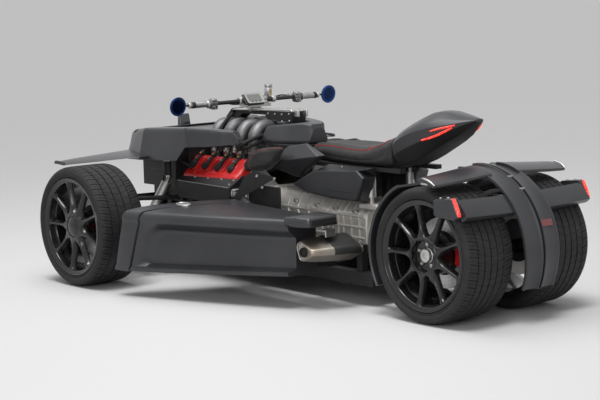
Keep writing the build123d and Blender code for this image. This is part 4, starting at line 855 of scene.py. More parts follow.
def makeDisc(name, axle, side):
    size = wheel[axle]
    x, outer = size["x"], size["outer"]
    out, inn = outer - 0.15, outer - 0.178
    centre = (x, 0, axleZ)
    parts = []
    for low, high in ((out - 0.0095, out), (inn, inn + 0.0095)):
        face = [(low, 0.108), (low, 0.171), (low + 0.001, 0.172), (high - 0.001, 0.172), (high, 0.171), (high, 0.108)]
        parts.append(wheelTurned(name + "Plate", face, centre, side, 96, "discSteel", 30))
    # vanes between the two plates
    ring = [(0.11, -0.0022), (0.17, -0.0022), (0.17, 0.0022), (0.11, 0.0022)]
    rows = [[(x + a, side * y, axleZ + b) for a, b in ring] for y in (inn + 0.009, out - 0.009)]
    parts.append(turned(skinned(name + "Vane", rows, "discSteel"), 36, centre, "discSteel"))
    hat = [
        (inn + 0.004, 0.066), (inn + 0.004, 0.112), (out - 0.004, 0.112), (out - 0.004, 0.082), (out + 0.004, 0.08),
        (outer - 0.1255, 0.079), (outer - 0.1252, 0.066)
    ]
    parts.append(wheelTurned(name + "Hat", hat, centre, side, 72, "mouldedBlack", 30))
    # drilled spots shown as shallow dark cups on the outer face
    spots = []
    for number in range(36):
        turn = 2 * math.pi * number / 36
        for k in range(3):
            r = 0.12 + 0.018 * k
            a = turn + 0.05 * k
            spots.append(((x + r * math.cos(a), side * (out - 0.0002), axleZ + r * math.sin(a)), (0, side, 0), (1, 0, 0)))
    cup = [
        [(rad * math.cos(a), rad * math.sin(a), z) for a in [math.pi * s / 4 for s in range(8)]] for rad,
        z in ((1.0, 0.0), (1.0, 0.12), (0.8, 0.12), (0.7, 0.02))
    ]
    source = skinned("drillSource", cup, "pipeBlack")
    parts.append(scatter(name + "Drill", spots, source, 0.0032, "pipeBlack"))
    bpy.data.objects.remove(source)
    return joined(name, parts)


def makeWheels():
    for axle in ("front", "rear"):
        for label, side in (("left", 1), ("right", -1)):
            body = "wheel_" + axle + "_" + label
            tail = axle + "_" + label
            settle(makeTyre("tyre" + axle.title() + label.title(), axle, side), body, "tyre_rubber", "tyre_" + tail)
            settle(makeRim("rim" + axle.title() + label.title(), axle, side), body, "rim_black", "rim_" + tail)
            settle(makeDisc("disc" + axle.title() + label.title(), axle, side), body, "disc_steel", "disc_" + tail)
    print("wheels made")


makeWheels()


# side pods: x values count from the rear axle
pod = {
    "outer": [{"x": x, "y": y} for x, y in ((0.6, 0.568), (0.735, 0.624), (1.04, 0.75), (1.42, 0.893), (1.62, 0.964), (1.7, 0.98), (1.753, 0.984))],
    "top": [{"x": x, "y": z} for x, z in ((0.6, 0.455), (0.735, 0.461), (1.04, 0.471), (1.42, 0.486), (1.62, 0.494), (1.753, 0.498))],
    "low": [{"x": x, "y": z} for x, z in ((0.6, 0.178), (0.735, 0.172), (1.04, 0.16), (1.42, 0.147), (1.62, 0.14), (1.753, 0.138))],
    "sweep": [{"x": y, "y": x} for y, x in ((0.44, 1.419), (0.544, 1.483), (0.66, 1.545), (0.755, 1.6), (0.83, 1.645), (0.9, 1.671), (1.0, 1.681))],
    "inner": 0.44, "crease": 0.447, "roll": 0.034, "depth": 0.064, "rear": 0.735, "band": 0.11, "corner": 0.11, "rake": 0.074, "span": 1.0,
}


def soften(value, low, high):
    t = min(max((value - low) / (high - low), 0.0), 1.0)
    return t * t * (3 - 2 * t)


def podRing(d):
    # closed section at the distance d behind the swept and raked front edge
    ring = []
    zc = pod["crease"]
    spots = [("top", t) for t in (0.0, 0.2, 0.4, 0.6, 0.75, 0.87, 0.95)]
    spots += [("roll", math.radians(a)) for a in (90, 75, 60, 45, 30, 15, 0, -12, -24, -35)]
    spots += [("flank", t / 17) for t in range(1, 18)]
    spots += [("foot", t) for t in range(6)]
    # band round the front edge, groove behind it
    lift = 0.004 if d < pod["band"] else 0.0
    if d < 0.012:
        lift = 0.004 - 0.012 * (1 - math.sqrt(max(0.0, 1 - (1 - d / 0.012) ** 2)))
    if pod["band"] <= d <= pod["band"] + 0.009:
        lift = -0.008
    for kind, t in spots:
        x, y, z = 1.7 - d, 0.8, zc
        for _ in range(5):
            yo, zt, zl = easeRow(pod["outer"], x, "y"), easeRow(pod["top"], x, "y"), easeRow(pod["low"], x, "y")
            big = pod["roll"]
            if kind == "top":
                y, z = pod["inner"] + (yo - big - pod["inner"]) * t, zt - (zt - zc - 0.012) * (0.35 * t + 0.65 * t**3) + lift
            elif kind == "roll":
                y, z = yo - big + (big + lift) * math.cos(t), zc + 0.012 - big + (big + lift) * math.sin(t)
            elif kind == "flank":
                start = zc + 0.012 - big * 1.5736
                z = start + (zl + 0.027 - start) * t
                a, b, wide = d - pod["band"] - 0.014, start + 0.004 - z, pod["corner"]
                inside = wide - math.hypot(max(wide - a, 0), max(wide - b, 0)) if min(a, b) < wide else min(a, b)
                depth = (pod["depth"] - 0.018 * soften(1.1 - x, 0.0, 0.5)) * soften(inside, 0.0, 0.055)
                depth *= soften(z, zl + 0.016, zl + 0.036)
                y = yo - 0.0061 * (1 - t) - depth + lift
            else:
                y, z = (
                    (yo + 0.004, zl + 0.023), (yo + 0.0055, zl + 0.016), (yo + 0.004, zl + 0.004), (yo - 0.004, zl), (yo - 0.12, zl),
                    (pod["inner"], zl)
                )[t]
                y += lift if t < 4 else 0
            front = easeRow(pod["sweep"], y, "y") + pod["rake"] * min(max((zc - z) / (zc - 0.138), 0.0), 1.0)
            share = (d - 0.13) / (pod["span"] - 0.13)
            x = front - d if d < 0.13 else (front - 0.13) * (1 - share) + pod["rear"] * share
        ring.append((rearAxleX + x, y, z))
    return ring


def podTop(x, y):
    yo, zt = easeRow(pod["outer"], x, "y"), easeRow(pod["top"], x, "y")
    t = (y - pod["inner"]) / (yo - pod["roll"] - pod["inner"])
    return zt - (zt - pod["crease"] - 0.012) * (0.35 * t + 0.65 * t**3)


def makePod(name):
    steps = [0, 0.0015, 0.004, 0.008, 0.012, 0.03, 0.06, 0.09, 0.106, 0.109, 0.1105, 0.112, 0.117, 0.1185, 0.1215, 0.126]
    steps += [0.126 + 0.0085 * n for n in range(1, 13)] + [0.24 + 0.038 * n for n in range(0, 20)] + [pod["span"]]
    rings = [podRing(d) for d in steps]
    # dished front face, then the closed rear end
    first = rings[0]
    centre = Vector((sum(p[0] for p in first), sum(p[1] for p in first), sum(p[2] for p in first))) / len(first)
    inset = [tuple(Vector(p).lerp(centre, 0.05) + Vector((-0.004, 0, 0))) for p in first]
    deeper = [tuple(Vector(p).lerp(centre, 0.08) + Vector((-0.035, 0, 0))) for p in first]
    rings = [deeper, inset] + rings
    body = skinned(name + "Shell", rings, "satinPaint", 38)
    # heel guard at the rear end of the shoulder, with a dark open back
    outline = roundCorners([(0.595, 0.418), (0.592, 0.606), (0.69, 0.642), (0.757, 0.638), (0.757, 0.418)], [0.01, 0.012, 0.05, 0.02, 0.01], 8)
    rings = []
    for z, grow in ((0.428, -0.012), (0.431, -0.006), (0.438, -0.001), (0.446, 0.0), (0.464, 0.0), (0.472, -0.003), (0.477, -0.01)):
        rings.append([(rearAxleX + p[0] - 0.12 * (0.477 - z) + (grow if p[0] > 0.66 else -grow), p[1] + grow, z) for p in outline])
    guard = skinned(name + "Guard", rings, "satinPaint", 38)
    back = block(name + "Back", (rearAxleX + 0.5855, 0.43, 0.437), (rearAxleX + 0.6, 0.594, 0.47), "mouldedBlack", 0.004)
    # filler cap: low oval disc on the shoulder
    rings = []
    for scale, z in ((1.0, -0.002), (1.0, 0.0055), (0.93, 0.0075), (0.8, 0.0078), (0.77, 0.006), (0.2, 0.006)):
        ring = []
        for s in range(40):
            a = 2 * math.pi * s / 40
            x, y = 1.5 + 0.05 * scale * math.cos(a), 0.705 + 0.032 * scale * math.sin(a)
            ring.append((rearAxleX + x, y, podTop(x, y) + z))
        rings.append(ring)
    cap = skinned(name + "Cap", rings, "polishedAluminium", 30)
    return joined(name, [body, guard, back, cap])


def makePods():
    left = makePod("podLeft")
    right = mirrored(left, "podRight")
    settle(left, "chassis", "body_satin", "side_pod_left")
    settle(right, "chassis", "body_satin", "side_pod_right")
    print("pods made")


# side cowls, stations from the front axle: lower edge, shoulder, inner lip
cowl = {
    "columns": ("x", "lowY", "lowZ", "topY", "topZ", "lipY", "lean"),
    "rows": (
        (0.236, 0.452, 0.652, 0.44, 0.69, 0.4, 0),
        (0.226, 0.459, 0.646, 0.424, 0.752, 0.36, 0),
        (0.19, 0.47, 0.646, 0.424, 0.8, 0.345, 0),
        (0.13, 0.485, 0.65, 0.438, 0.822, 0.345, 0),
        (0.03, 0.51, 0.655, 0.466, 0.834, 0.35, 0),
        (-0.14, 0.497, 0.662, 0.458, 0.842, 0.348, 0),
        (-0.3, 0.487, 0.669, 0.45, 0.849, 0.346, 0),
        (-0.322, 0.47, 0.745, 0.448, 0.85, 0.345, 0.38),
        (-0.326, 0.456, 0.7455, 0.438, 0.849, 0.341, 0.38),
        (-0.47, 0.405, 0.749, 0.4, 0.845, 0.322, 0),
        (-0.561, 0.371, 0.757, 0.366, 0.842, 0.3, 0),
        (-0.612, 0.328, 0.764, 0.33, 0.838, 0.288, 0),
        (-0.64, 0.302, 0.771, 0.312, 0.792, 0.284, 0),
    ),
    "wall": 0.006, "round": 0.026,
}


def makeCowl(name):
    rings = []
    for values in cowl["rows"]:
        row = dict(zip(cowl["columns"], values))
        wall, topZ = cowl["wall"], row["topZ"]
        x = frontAxleX + row["x"]
        reach = min(cowl["round"], (row["topY"] - row["lipY"]) * 0.45, (topZ - row["lowZ"]) * 0.45)
        outer = roundCorners(
            [(x, row["lowY"], row["lowZ"]), (x, row["topY"], topZ), (x, row["lipY"], topZ - 0.004)], [0.0005, reach, 0.0005], 9
        )[10:20]
        inner = [Vector((x, p.y - wall * 0.8, p.z - wall * 0.6)) for p in outer]
        start, end = Vector((x, row["lowY"], row["lowZ"])), Vector((x, row["lipY"], topZ - 0.004))
        ring = [start] + outer + [end, end - Vector((0, 0, wall))] + inner[::-1] + [start - Vector((0, wall, 0))]
        rings.append([Vector((p.x - row["lean"] * (topZ - p.z), p.y, p.z)) for p in ring])
    return skinned(name, rings, "satinPaint", 11)


# nose, deck, wing blades and small screen


def makeNose(name):
    rings = []
    rows = (
        (0.205, 0.455, 0.648, 0.41, 0.812, 0.02), (0.24, 0.445, 0.646, 0.4, 0.806, 0.03), (0.28, 0.418, 0.644, 0.368, 0.792, 0.035),
        (0.318, 0.375, 0.642, 0.322, 0.77, 0.035), (0.34, 0.332, 0.641, 0.283, 0.752, 0.03), (0.349, 0.306, 0.646, 0.262, 0.738, 0.025),
        (0.3515, 0.286, 0.654, 0.246, 0.728, 0.02),
    )
    for x, lowY, lowZ, topY, topZ, soft in rows:
        outline = [(frontAxleX + x, -lowY, lowZ), (frontAxleX + x, lowY, lowZ), (frontAxleX + x, topY, topZ), (frontAxleX + x, -topY, topZ)]
        rings.append(roundCorners(outline, [0.012, 0.012, soft, soft], 6))
    inside = [[p.lerp(Vector((p.x, 0, 0.72)), 0.03) - Vector((0.006, 0, 0)) for p in ring] for ring in rings[::-1]]
    verts, faces = skin(rings + inside, True, False, False)
    count = len(rings[0])
    last = (2 * len(rings) - 1) * count
    for c in range(count):
        faces.append((last + c, last + (c + 1) % count, (c + 1) % count, c))
    faces.append(tuple(range((len(rings) - 1) * count, len(rings) * count)))
    shell = newPiece(name + "Shell", verts, faces, "satinPaint", 30)
    deck = block(name + "Deck", (frontAxleX - 0.16, -0.335, 0.794), (frontAxleX + 0.24, 0.335, 0.8), "satinPaint", 0.002)
    # intake slots across the nose, dark
    parts = [shell, deck]
    for z in (0.672, 0.69, 0.708):
        parts.append(block(name + "Slot", (frontAxleX + 0.345, -0.085, z - 0.005), (frontAxleX + 0.3525, 0.085, z + 0.005), "pipeBlack", 0.002))
    rings = []
    for y, front, rear, z, thick in (
        (0.4, 0.25, 0.1, 0.692, 0.014), (0.506, 0.214, -0.058, 0.691, 0.015), (0.62, 0.2, -0.034, 0.688, 0.014), (0.76, 0.186, -0.004, 0.684, 0.0125),
        (0.88, 0.168, 0.03, 0.68, 0.011), (0.955, 0.156, 0.051, 0.677, 0.009), (0.985, 0.149, 0.06, 0.675, 0.007),
    ):
        ring = []
        for share, half in ((0.0, 0.0), (0.03, 0.45), (0.1, 0.8), (0.3, 1.0), (0.6, 0.85), (0.9, 0.4), (1.0, 0.08)):
            ring.append((frontAxleX + front + (rear - front) * share, y, z + thick * half * 0.7 - 0.01 * share))
        for share, half in ((0.9, 0.3), (0.6, 0.45), (0.3, 0.5), (0.1, 0.45), (0.03, 0.25)):
            ring.append((frontAxleX + front + (rear - front) * share, y, z - thick * half * 1.1 - 0.01 * share))
        rings.append(ring)
    blade = skinned(name + "Blade", rings, "satinPaint", 40)
    plate = prism(
        name + "Plate", roundCorners(
            [(frontAxleX + 0.054, 0.666), (frontAxleX + 0.062, 0.684), (frontAxleX + 0.148, 0.687), (frontAxleX + 0.158, 0.668)], 0.01, 4
        ),
        0.977, 0.99, "satinPaint", "Y", 0.003,
    )
    left = joined(name + "Wing", [blade, plate])
    parts += [left, mirrored(left, name + "WingRight")]
    # small dark fin on the nose
    fin = prism(
        name + "Screen", roundCorners(
            [(frontAxleX + 0.263, 0.768), (frontAxleX + 0.283, 0.868), (frontAxleX + 0.298, 0.871), (frontAxleX + 0.307, 0.768)], 0.006, 4
        ),
        -0.036, 0.036, "darkScreen", "Y", 0.004,
    )
    parts.append(fin)
    return joined(name, parts)


def makeHeadlamp(name):
    # clear lens standing in its opening, on a dark bowl
    outline = [(0.112, 0.668), (0.24, 0.69), (0.226, 0.722), (0.132, 0.716)]
    centre = Vector((0.178, 0.699))
    parts = []
    for label, share, low, high, finish in (("Bowl", 0.98, 0.33, 0.3524, "pipeBlack"), ("Lens", 0.86, 0.338, 0.3536, "lampClear")):
        points = roundCorners([centre + (Vector(p) - centre) * share for p in outline], 0.01, 5)
        parts.append(prism(name + label, points, frontAxleX + low, frontAxleX + high, finish, "X", 0.002))
    return joined(name, parts)


def makeTankCover(name):
    rings = []
    for x, base, top, low, high in (
        (0.158, 0.058, 0.034, 0.772, 0.846), (0.17, 0.064, 0.044, 0.7622, 0.868), (0.215, 0.088, 0.062, 0.7622, 0.877),
        (0.32, 0.13, 0.094, 0.7622, 0.868),
        (0.44, 0.163, 0.117, 0.7622, 0.855), (0.458, 0.163, 0.116, 0.7622, 0.851), (0.468, 0.157, 0.106, 0.766, 0.838),
    ):
        outline = [(x, -base, low), (x, base, low), (x, base + 0.004, low + 0.018), (x, top, high), (x, -top, high), (x, -base - 0.004, low + 0.018)]
        rings.append(roundCorners(outline, [0.004, 0.004, 0.012, 0.016, 0.016, 0.012], 5))
    return skinned(name, rings, "satinPaint", 26)


# tail: stations from the rear axle
tail = {
    "columns": ("x", "half", "lowZ", "lowHalf", "edgeZ", "topZ", "topHalf"),
    "rows": (
        (0.472, 0.15, 0.692, 0.1, 0.806, 0.866, 0.098),
        (0.445, 0.152, 0.702, 0.098, 0.83, 0.888, 0.092),
        (0.39, 0.153, 0.722, 0.094, 0.858, 0.92, 0.08),
        (0.33, 0.151, 0.748, 0.088, 0.88, 0.95, 0.068),
        (0.275, 0.148, 0.776, 0.084, 0.894, 0.975, 0.056),
        (0.227, 0.143, 0.8, 0.08, 0.905, 0.984, 0.05),
        (0.175, 0.132, 0.826, 0.074, 0.915, 0.982, 0.048),
        (0.11, 0.108, 0.862, 0.06, 0.928, 0.971, 0.042),
        (0.06, 0.076, 0.9, 0.042, 0.938, 0.962, 0.032),
        (0.03, 0.052, 0.922, 0.026, 0.944, 0.957, 0.02),
        (0.01, 0.028, 0.938, 0.014, 0.947, 0.953, 0.01),
    ),
}


def makeTail(name):
    rings = []
    for values in tail["rows"]:
        row = dict(zip(tail["columns"], values))
        x = rearAxleX + row["x"]
        h, e = row["half"], row["edgeZ"]
        knee = (h * 0.93, e - (e - row["lowZ"]) * 0.46)
        side = [
            (row["lowHalf"], row["lowZ"]), knee, (h, e), (h * 0.72 + row["topHalf"] * 0.28, e + (row["topZ"] - e) * 0.46),
            (row["topHalf"], row["topZ"] - 0.002)
        ]
        outline = [(x, y, z) for y, z in side] + [(x, 0, row["topZ"] + 0.001)] + [(x, -y, z) for y, z in side[::-1]]
        soft = [0.008, 0.003, 0.0015, 0.02, 0.018, 0.04, 0.018, 0.02, 0.0015, 0.003, 0.008]
        rings.append(roundCorners(outline, soft, 4))
    shell = skinned(name + "Shell", rings, "satinPaint", 16)
    shell.data.materials.append(finishes["mouldedBlack"])
    for face in shell.data.polygons:
        face.material_index = 1 if face.normal.z < -0.32 else 0
    parts = [shell]
    # V lamps let into the sides
    for side in (1, -1):
        for path, radius in (
            (((0.262, 0.146, 0.846), (0.19, 0.1385, 0.866), (0.128, 0.118, 0.894), (0.095, 0.102, 0.914)), 0.0062),
            (((0.208, 0.139, 0.893), (0.165, 0.1315, 0.905), (0.12, 0.114, 0.916), (0.08, 0.0955, 0.925)), 0.0046),
        ):
            line = curvePoints([(rearAxleX + x, side * y, z) for x, y, z in path], 6)
            sizes = [radius * (0.35 + 0.65 * math.sin(math.pi * (0.08 + 0.84 * n / (len(line) - 1))) ** 0.5) for n in range(len(line))]
            parts.append(plainTube(line, sizes, 10, "lampRed", name + "Lamp"))
    return joined(name, parts)


def makeSidePanel(name):
    # two facets: a bright upper one and a dark lower one, meeting in a slanting crease
    points = {
        "a": (1.249, 0.185, 0.762), "b": (1.107, 0.18, 0.784), "c": (0.962, 0.225, 0.728), "d": (1.156, 0.205, 0.602),
        "e": (1.382, 0.215, 0.65), "m": (1.372, 0.238, 0.672),
    }
    names = list(points)
    outer = [(rearAxleX + p[0], p[1], p[2]) for p in points.values()]
    verts = outer + [(x, 0.166, z) for x, _, z in outer]
    faces = [tuple(names.index(k) for k in group) for group in ("abcm", "mcde")]
    faces += [(n, n + 6, (n + 1) % 6 + 6, (n + 1) % 6) for n in range(6)] + [tuple(range(6, 12))]
    obj = newPiece(name, verts, faces, "satinPaint", 12)
    return applied(bevelled(obj, 0.005, 3, 14))


def makeSeatBox(name):
    low = [(1.164, 0.569), (0.99, 0.655), (0.65, 0.676), (0.6, 0.64), (0.648, 0.517), (0.858, 0.515), (1.058, 0.535)]
    rings = []
    for y, shrink in ((0.146, 0.0), (0.222, 0.0), (0.232, 0.004), (0.235, 0.011)):
        centre = Vector((0.86, 0.6))
        ring = []
        for p in low:
            v = Vector(p)
            v = v + (centre - v).normalized() * shrink
            ring.append((rearAxleX + v.x, y, v.y))
        rings.append(ring)
    main = applied(bevelled(skinned(name + "Main", rings, "satinPaint", 12), 0.004, 2, 20))
    # sloping upper facet towards the seat
    top = [(1.06, 0.222, 0.622), (0.99, 0.228, 0.652), (0.65, 0.228, 0.673), (0.6, 0.214, 0.684), (0.93, 0.17, 0.6885), (0.59, 0.17, 0.6885)]
    verts = [(rearAxleX + p[0], p[1], p[2]) for p in (top[1], top[2], top[3], top[5], top[4], top[0])]
    verts += [(v[0], 0.15, min(v[2], 0.655) - 0.01) for v in verts]
    faces = [(0, 1, 2, 3, 4, 5), (11, 10, 9, 8, 7, 6)] + [(n, n + 6, (n + 1) % 6 + 6, (n + 1) % 6) for n in range(6)]
    facet = applied(bevelled(newPiece(name + "Facet", verts, faces, "satinPaint", 12), 0.003, 2, 20))
    parts = [main, facet]
    # row of small slots along the lower edge, and one screw
    for n in range(9):
        x = rearAxleX + 0.7 + 0.022 * n
        parts.append(block(name + "Slot", (x, 0.2345, 0.5565), (x + 0.013, 0.2358, 0.5625), "pipeBlack", 0.001))
    parts.append(scatter(name + "Screw", [((rearAxleX + 0.8, 0.197, 0.681), (0, 0.3, 0.95), (1, 0, 0))], sources["bolt"], 0.006, "zincBolt"))
    return joined(name, parts)


def makePanels():
    makePods()
    pair(makeCowl, "sideCowls", "chassis", "body_satin", ("side_cowls",))
    settle(makeNose("nose"), "chassis", "body_satin", "front_fairing")
    pair(makeHeadlamp, "headlamps", "chassis", "lamp_clear", ("headlamps",))
    settle(makeTankCover("tankCover"), "chassis", "body_satin", "tank_cover")
    settle(makeTail("tail"), "chassis", "body_satin", "tail_unit")
    pair(makeSidePanel, "sidePanels", "chassis", "body_satin", ("side_panels",))
    pair(makeSeatBox, "seatBoxes", "chassis", "body_satin", ("seat_boxes",))
    print("panels made")


makePanels()


# soft parts: swollen by a short cloth run, then stitched
def puffed(obj, voxel, cap, base, pressure=4.0):
    mod = obj.modifiers.new("remesh", "REMESH")
    mod.mode = "VOXEL"
    mod.voxel_size = voxel
    applied(obj)
    work = bmesh.new()
    work.from_mesh(obj.data)
    for _ in range(4):
        bmesh.ops.smooth_vert(work, verts=work.verts, factor=0.5, use_axis_x=True, use_axis_y=True, use_axis_z=True)
    work.to_mesh(obj.data)
    work.free()
    start = [v.co.copy() for v in obj.data.vertices]
    held = obj.vertex_groups.new(name="held")
    held.add([n for n, co in enumerate(start) if base(co)], 1.0, "REPLACE")
    cloth = obj.modifiers.new("cloth", "CLOTH")
    cloth.settings.use_pressure = True
    cloth.settings.uniform_pressure_force = pressure
    cloth.settings.effector_weights.gravity = 0.0
    cloth.settings.vertex_group_mass = "held"
    cloth.point_cache.frame_start, cloth.point_cache.frame_end = 1, 20
    for step in range(1, 21):
        bpy.context.scene.frame_set(step)
    graph = bpy.context.evaluated_depsgraph_get()
    swollen = [v.co.copy() for v in obj.evaluated_get(graph).data.vertices]
    obj.modifiers.clear()
    obj.vertex_groups.clear()
    bpy.context.scene.frame_set(1)
    for vert, before, after in zip(obj.data.vertices, start, swollen):
        move = after - before
        vert.co = before + (move.normalized() * cap if move.length > cap else move)
    sub = obj.modifiers.new("subdivide", "SUBSURF")
    sub.levels = sub.render_levels = 1
    applied(obj)
    tidyMesh(obj, 60)
    return obj


def surfaceOf(obj):
    return BVHTree.FromPolygons([v.co for v in obj.data.vertices], [tuple(p.vertices) for p in obj.data.polygons])


def stitched(name, obj, lines, spacing=0.0075, size=0.0062, lift=0.0002):
    # thread stitches laid on the swollen surface
    tree = surfaceOf(obj)
    places = []
    for line in lines:
        laid = []
        for point in curvePoints(line, 14):
            near, normal, _, _ = tree.find_nearest(point)
            laid.append((near + normal * lift, normal))
        for point, _, along in stitchLine([p for p, _ in laid], lambda p: None, spacing):
            near, normal, _, _ = tree.find_nearest(point)
            places.append((near + normal * lift, normal, along))
    return scatter(name, places, sources["stitch"], size, "redThread")


def seamed(obj, lines, depth, reach):
    # press a sewn channel into the surface along each line
    path = [p for line in lines for p in curvePoints(line, 40)]
    tree = KDTree(len(path))
    for number, point in enumerate(path):
        tree.insert(point, number)
    tree.balance()
    for vert in obj.data.vertices:
        gap = tree.find(vert.co)[2]
        if gap < reach * 1.6:
            vert.co -= vert.normal * depth * math.exp(-((gap / reach * 2) ** 2))


seat = {
    "rows": (
        (1.184, 0.09, 0.716, 0.766), (1.15, 0.104, 0.708, 0.774), (1.06, 0.124, 0.698, 0.782), (0.96, 0.144, 0.696, 0.785),
        (0.86, 0.16, 0.696, 0.784),
        (0.76, 0.17, 0.696, 0.781), (0.68, 0.172, 0.696, 0.784), (0.62, 0.168, 0.696, 0.797), (0.56, 0.162, 0.697, 0.818),
        (0.51, 0.155, 0.7, 0.84), (0.481, 0.148, 0.704, 0.855),
    ),
    "voxel": 0.0055, "cap": 0.006,
}


def seatHalf(x):
    return easeRow([{"x": row[0], "y": row[1]} for row in seat["rows"]], x, "y")


def seatTop(x):
    return easeRow([{"x": row[0], "y": row[3]} for row in seat["rows"]], x, "y")


def makeSeat():
    rings = []
    for step in range(25):
        x = 1.184 + (0.481 - 1.184) * step / 24
        rows = [{"x": row[0], "half": row[1], "base": row[2], "top": row[3]} for row in seat["rows"]]
        half, base, top = [easeRow(rows, x, key) for key in ("half", "base", "top")]
        outline = [(half * 0.86, base), (half, base + 0.028), (half - 0.004, top - 0.03), (half - 0.04, top - 0.002), (half * 0.35, top - 0.004)]
        outline = [(rearAxleX + x, y, z) for y, z in outline] + [(rearAxleX + x, -y, z) for y, z in outline[::-1]]
        rings.append(roundCorners(outline, [0.012, 0.03, 0.03, 0.03, 0.04, 0.04, 0.03, 0.03, 0.03, 0.012], 4))
    pad = puffed(skinned("seatPad", rings, "seatLeather"), seat["voxel"], seat["cap"], lambda co: co.z < 0.712 or co.x < rearAxleX + 0.49)
    edge = [(rearAxleX + x, side * (seatHalf(x) - 0.02), seatTop(x) - 0.004) for side in (1,) for x in (1.165, 1.05, 0.92, 0.8, 0.7, 0.655)]
    back = [
        (rearAxleX + x, y, z) for x, y,
        z in ((0.655, 0.15, 0.786), (0.6, 0.146, 0.802), (0.556, 0.126, 0.82), (0.53, 0.09, 0.833), (0.522, 0.04, 0.838), (0.52, 0.0, 0.839))
    ]
    front = [(rearAxleX + x, y, z) for x, y, z in ((0.655, 0.15, 0.786), (0.668, 0.11, 0.786), (0.674, 0.05, 0.785), (0.676, 0.0, 0.785))]
    lines = []
    for line in (edge, back, front):
        lines += [line, [(x, -y, z) for x, y, z in line]]
    seamed(pad, lines, 0.0022, 0.009)
    pad.data.materials.append(finishes["seatSuede"])
    for face in pad.data.polygons:
        x, y, z = face.center
        x -= rearAxleX
        within = 0.535 + 0.1 * (abs(y) / 0.146) ** 3 < x < 0.672 - 0.012 * (y / 0.15) ** 2 and abs(y) < seatHalf(x) - 0.022
        face.material_index = 1 if face.normal.z > 0.4 and within else 0
    settle(pad, "chassis", "leather_black", "seat")
    near = [[(x + 0.004, y - math.copysign(0.004, y) if y else 0.0, z) for x, y, z in line] for line in lines]
    thread = stitched("seatThread", pad, lines + near)
    settle(thread, "chassis", "leather_black")
    print("seat made", len(pad.data.polygons), "faces")


kneePad = {"voxel": 0.005, "cap": 0.006}


def makeKneePads():
    # outline of the outer face, then the same pulled in against the side panel
    outer = [
        (1.206, 0.25, 0.76), (1.29, 0.278, 0.76), (1.369, 0.31, 0.749), (1.42, 0.328, 0.727), (1.46, 0.34, 0.664), (1.456, 0.34, 0.624),
        (1.39, 0.318, 0.626), (1.326, 0.296, 0.636), (1.256, 0.266, 0.684)
    ]
    rings = []
    middle = Vector((1.35, 0.292, 0.698))
    for share, depth in ((0.96, 0.0), (1.0, 0.25), (1.0, 0.7), (0.97, 0.94), (0.86, 1.0), (0.55, 1.04)):
        ring = []
        for p in outer:
            v = middle + (Vector(p) - middle) * share
            y = 0.2385 + (v.y - 0.2385) * depth
            ring.append((rearAxleX + v.x, y, v.z))
        rings.append(ring)
    verts, faces = skin(rings)
    pads = []
    threads = []
    for side in (1, -1):
        pad = newPiece("kneePad", [(x, side * y, z) for x, y, z in verts], faces, "seatSuede")
        pad = puffed(pad, kneePad["voxel"], kneePad["cap"], lambda co: abs(co.y) < 0.246)
        line = [
            (1.222, 0.256, 0.757), (1.284, 0.277, 0.756), (1.345, 0.301, 0.747), (1.386, 0.318, 0.724), (1.408, 0.329, 0.686),
            (1.412, 0.331, 0.652), (1.402, 0.327, 0.632)
        ]
        line = [(rearAxleX + x, side * y, z) for x, y, z in line]
        seamed(pad, [line], 0.0022, 0.008)
        pad.data.materials.append(finishes["seatLeather"])
        for face in pad.data.polygons:
            x, _, z = face.center
            x -= rearAxleX
            edge = 1.41 - 0.9 * max(z - 0.69, 0) - 2.2 * max(z - 0.728, 0)
            face.material_index = 1 if x > edge else 0
        pads.append(pad)
        threads.append(stitched("kneeThread", pad, [line]))
    pad = joined("kneePads", pads)
    settle(pad, "chassis", "leather_black", "knee_pads")
    settle(joined("kneeThreads", threads), "chassis", "leather_black")
    print("knee pads made")


makeSeat()
makeKneePads()
# engine: u along X from the middle of the left cam cover, v outwards and down across the bank, w away from it
engine = {
    "middle": Vector((0.663, 0.29274, 0.59274)), "cylinders": (-0.15, -0.036, 0.08, 0.194), "rear": 0.398, "front": 0.908,
    "cover": (
        (-0.096, 0.0), (-0.096, 0.01), (-0.089, 0.0115), (-0.085, 0.03), (-0.076, 0.049), (-0.06, 0.0565), (-0.04, 0.056), (-0.027, 0.049),
        (0.022, 0.048), (0.034, 0.0535), (0.05, 0.056), (0.068, 0.052), (0.08, 0.042), (0.087, 0.026), (0.0895, 0.0115),
        (0.0965, 0.01), (0.0965, 0.0),
    ),
    "ends": ((0.242, 0.25, 0.0), (0.2405, 0.55, 0.0), (0.237, 0.78, 0.0), (0.23, 0.93, 0.0), (0.22, 1.0, 0.0)),
}
slant = math.sqrt(0.5)
bankOut, bankUp = Vector((0, slant, -slant)), Vector((0, slant, slant))


def onBank(u, v, w):
    return engine["middle"] + Vector((u, 0, 0)) + bankOut * v + bankUp * w


def toBank(obj):
    # piece drawn in (u, v, w) carried over to the bank
    for vert in obj.data.vertices:
        vert.co = onBank(*vert.co)
    return obj


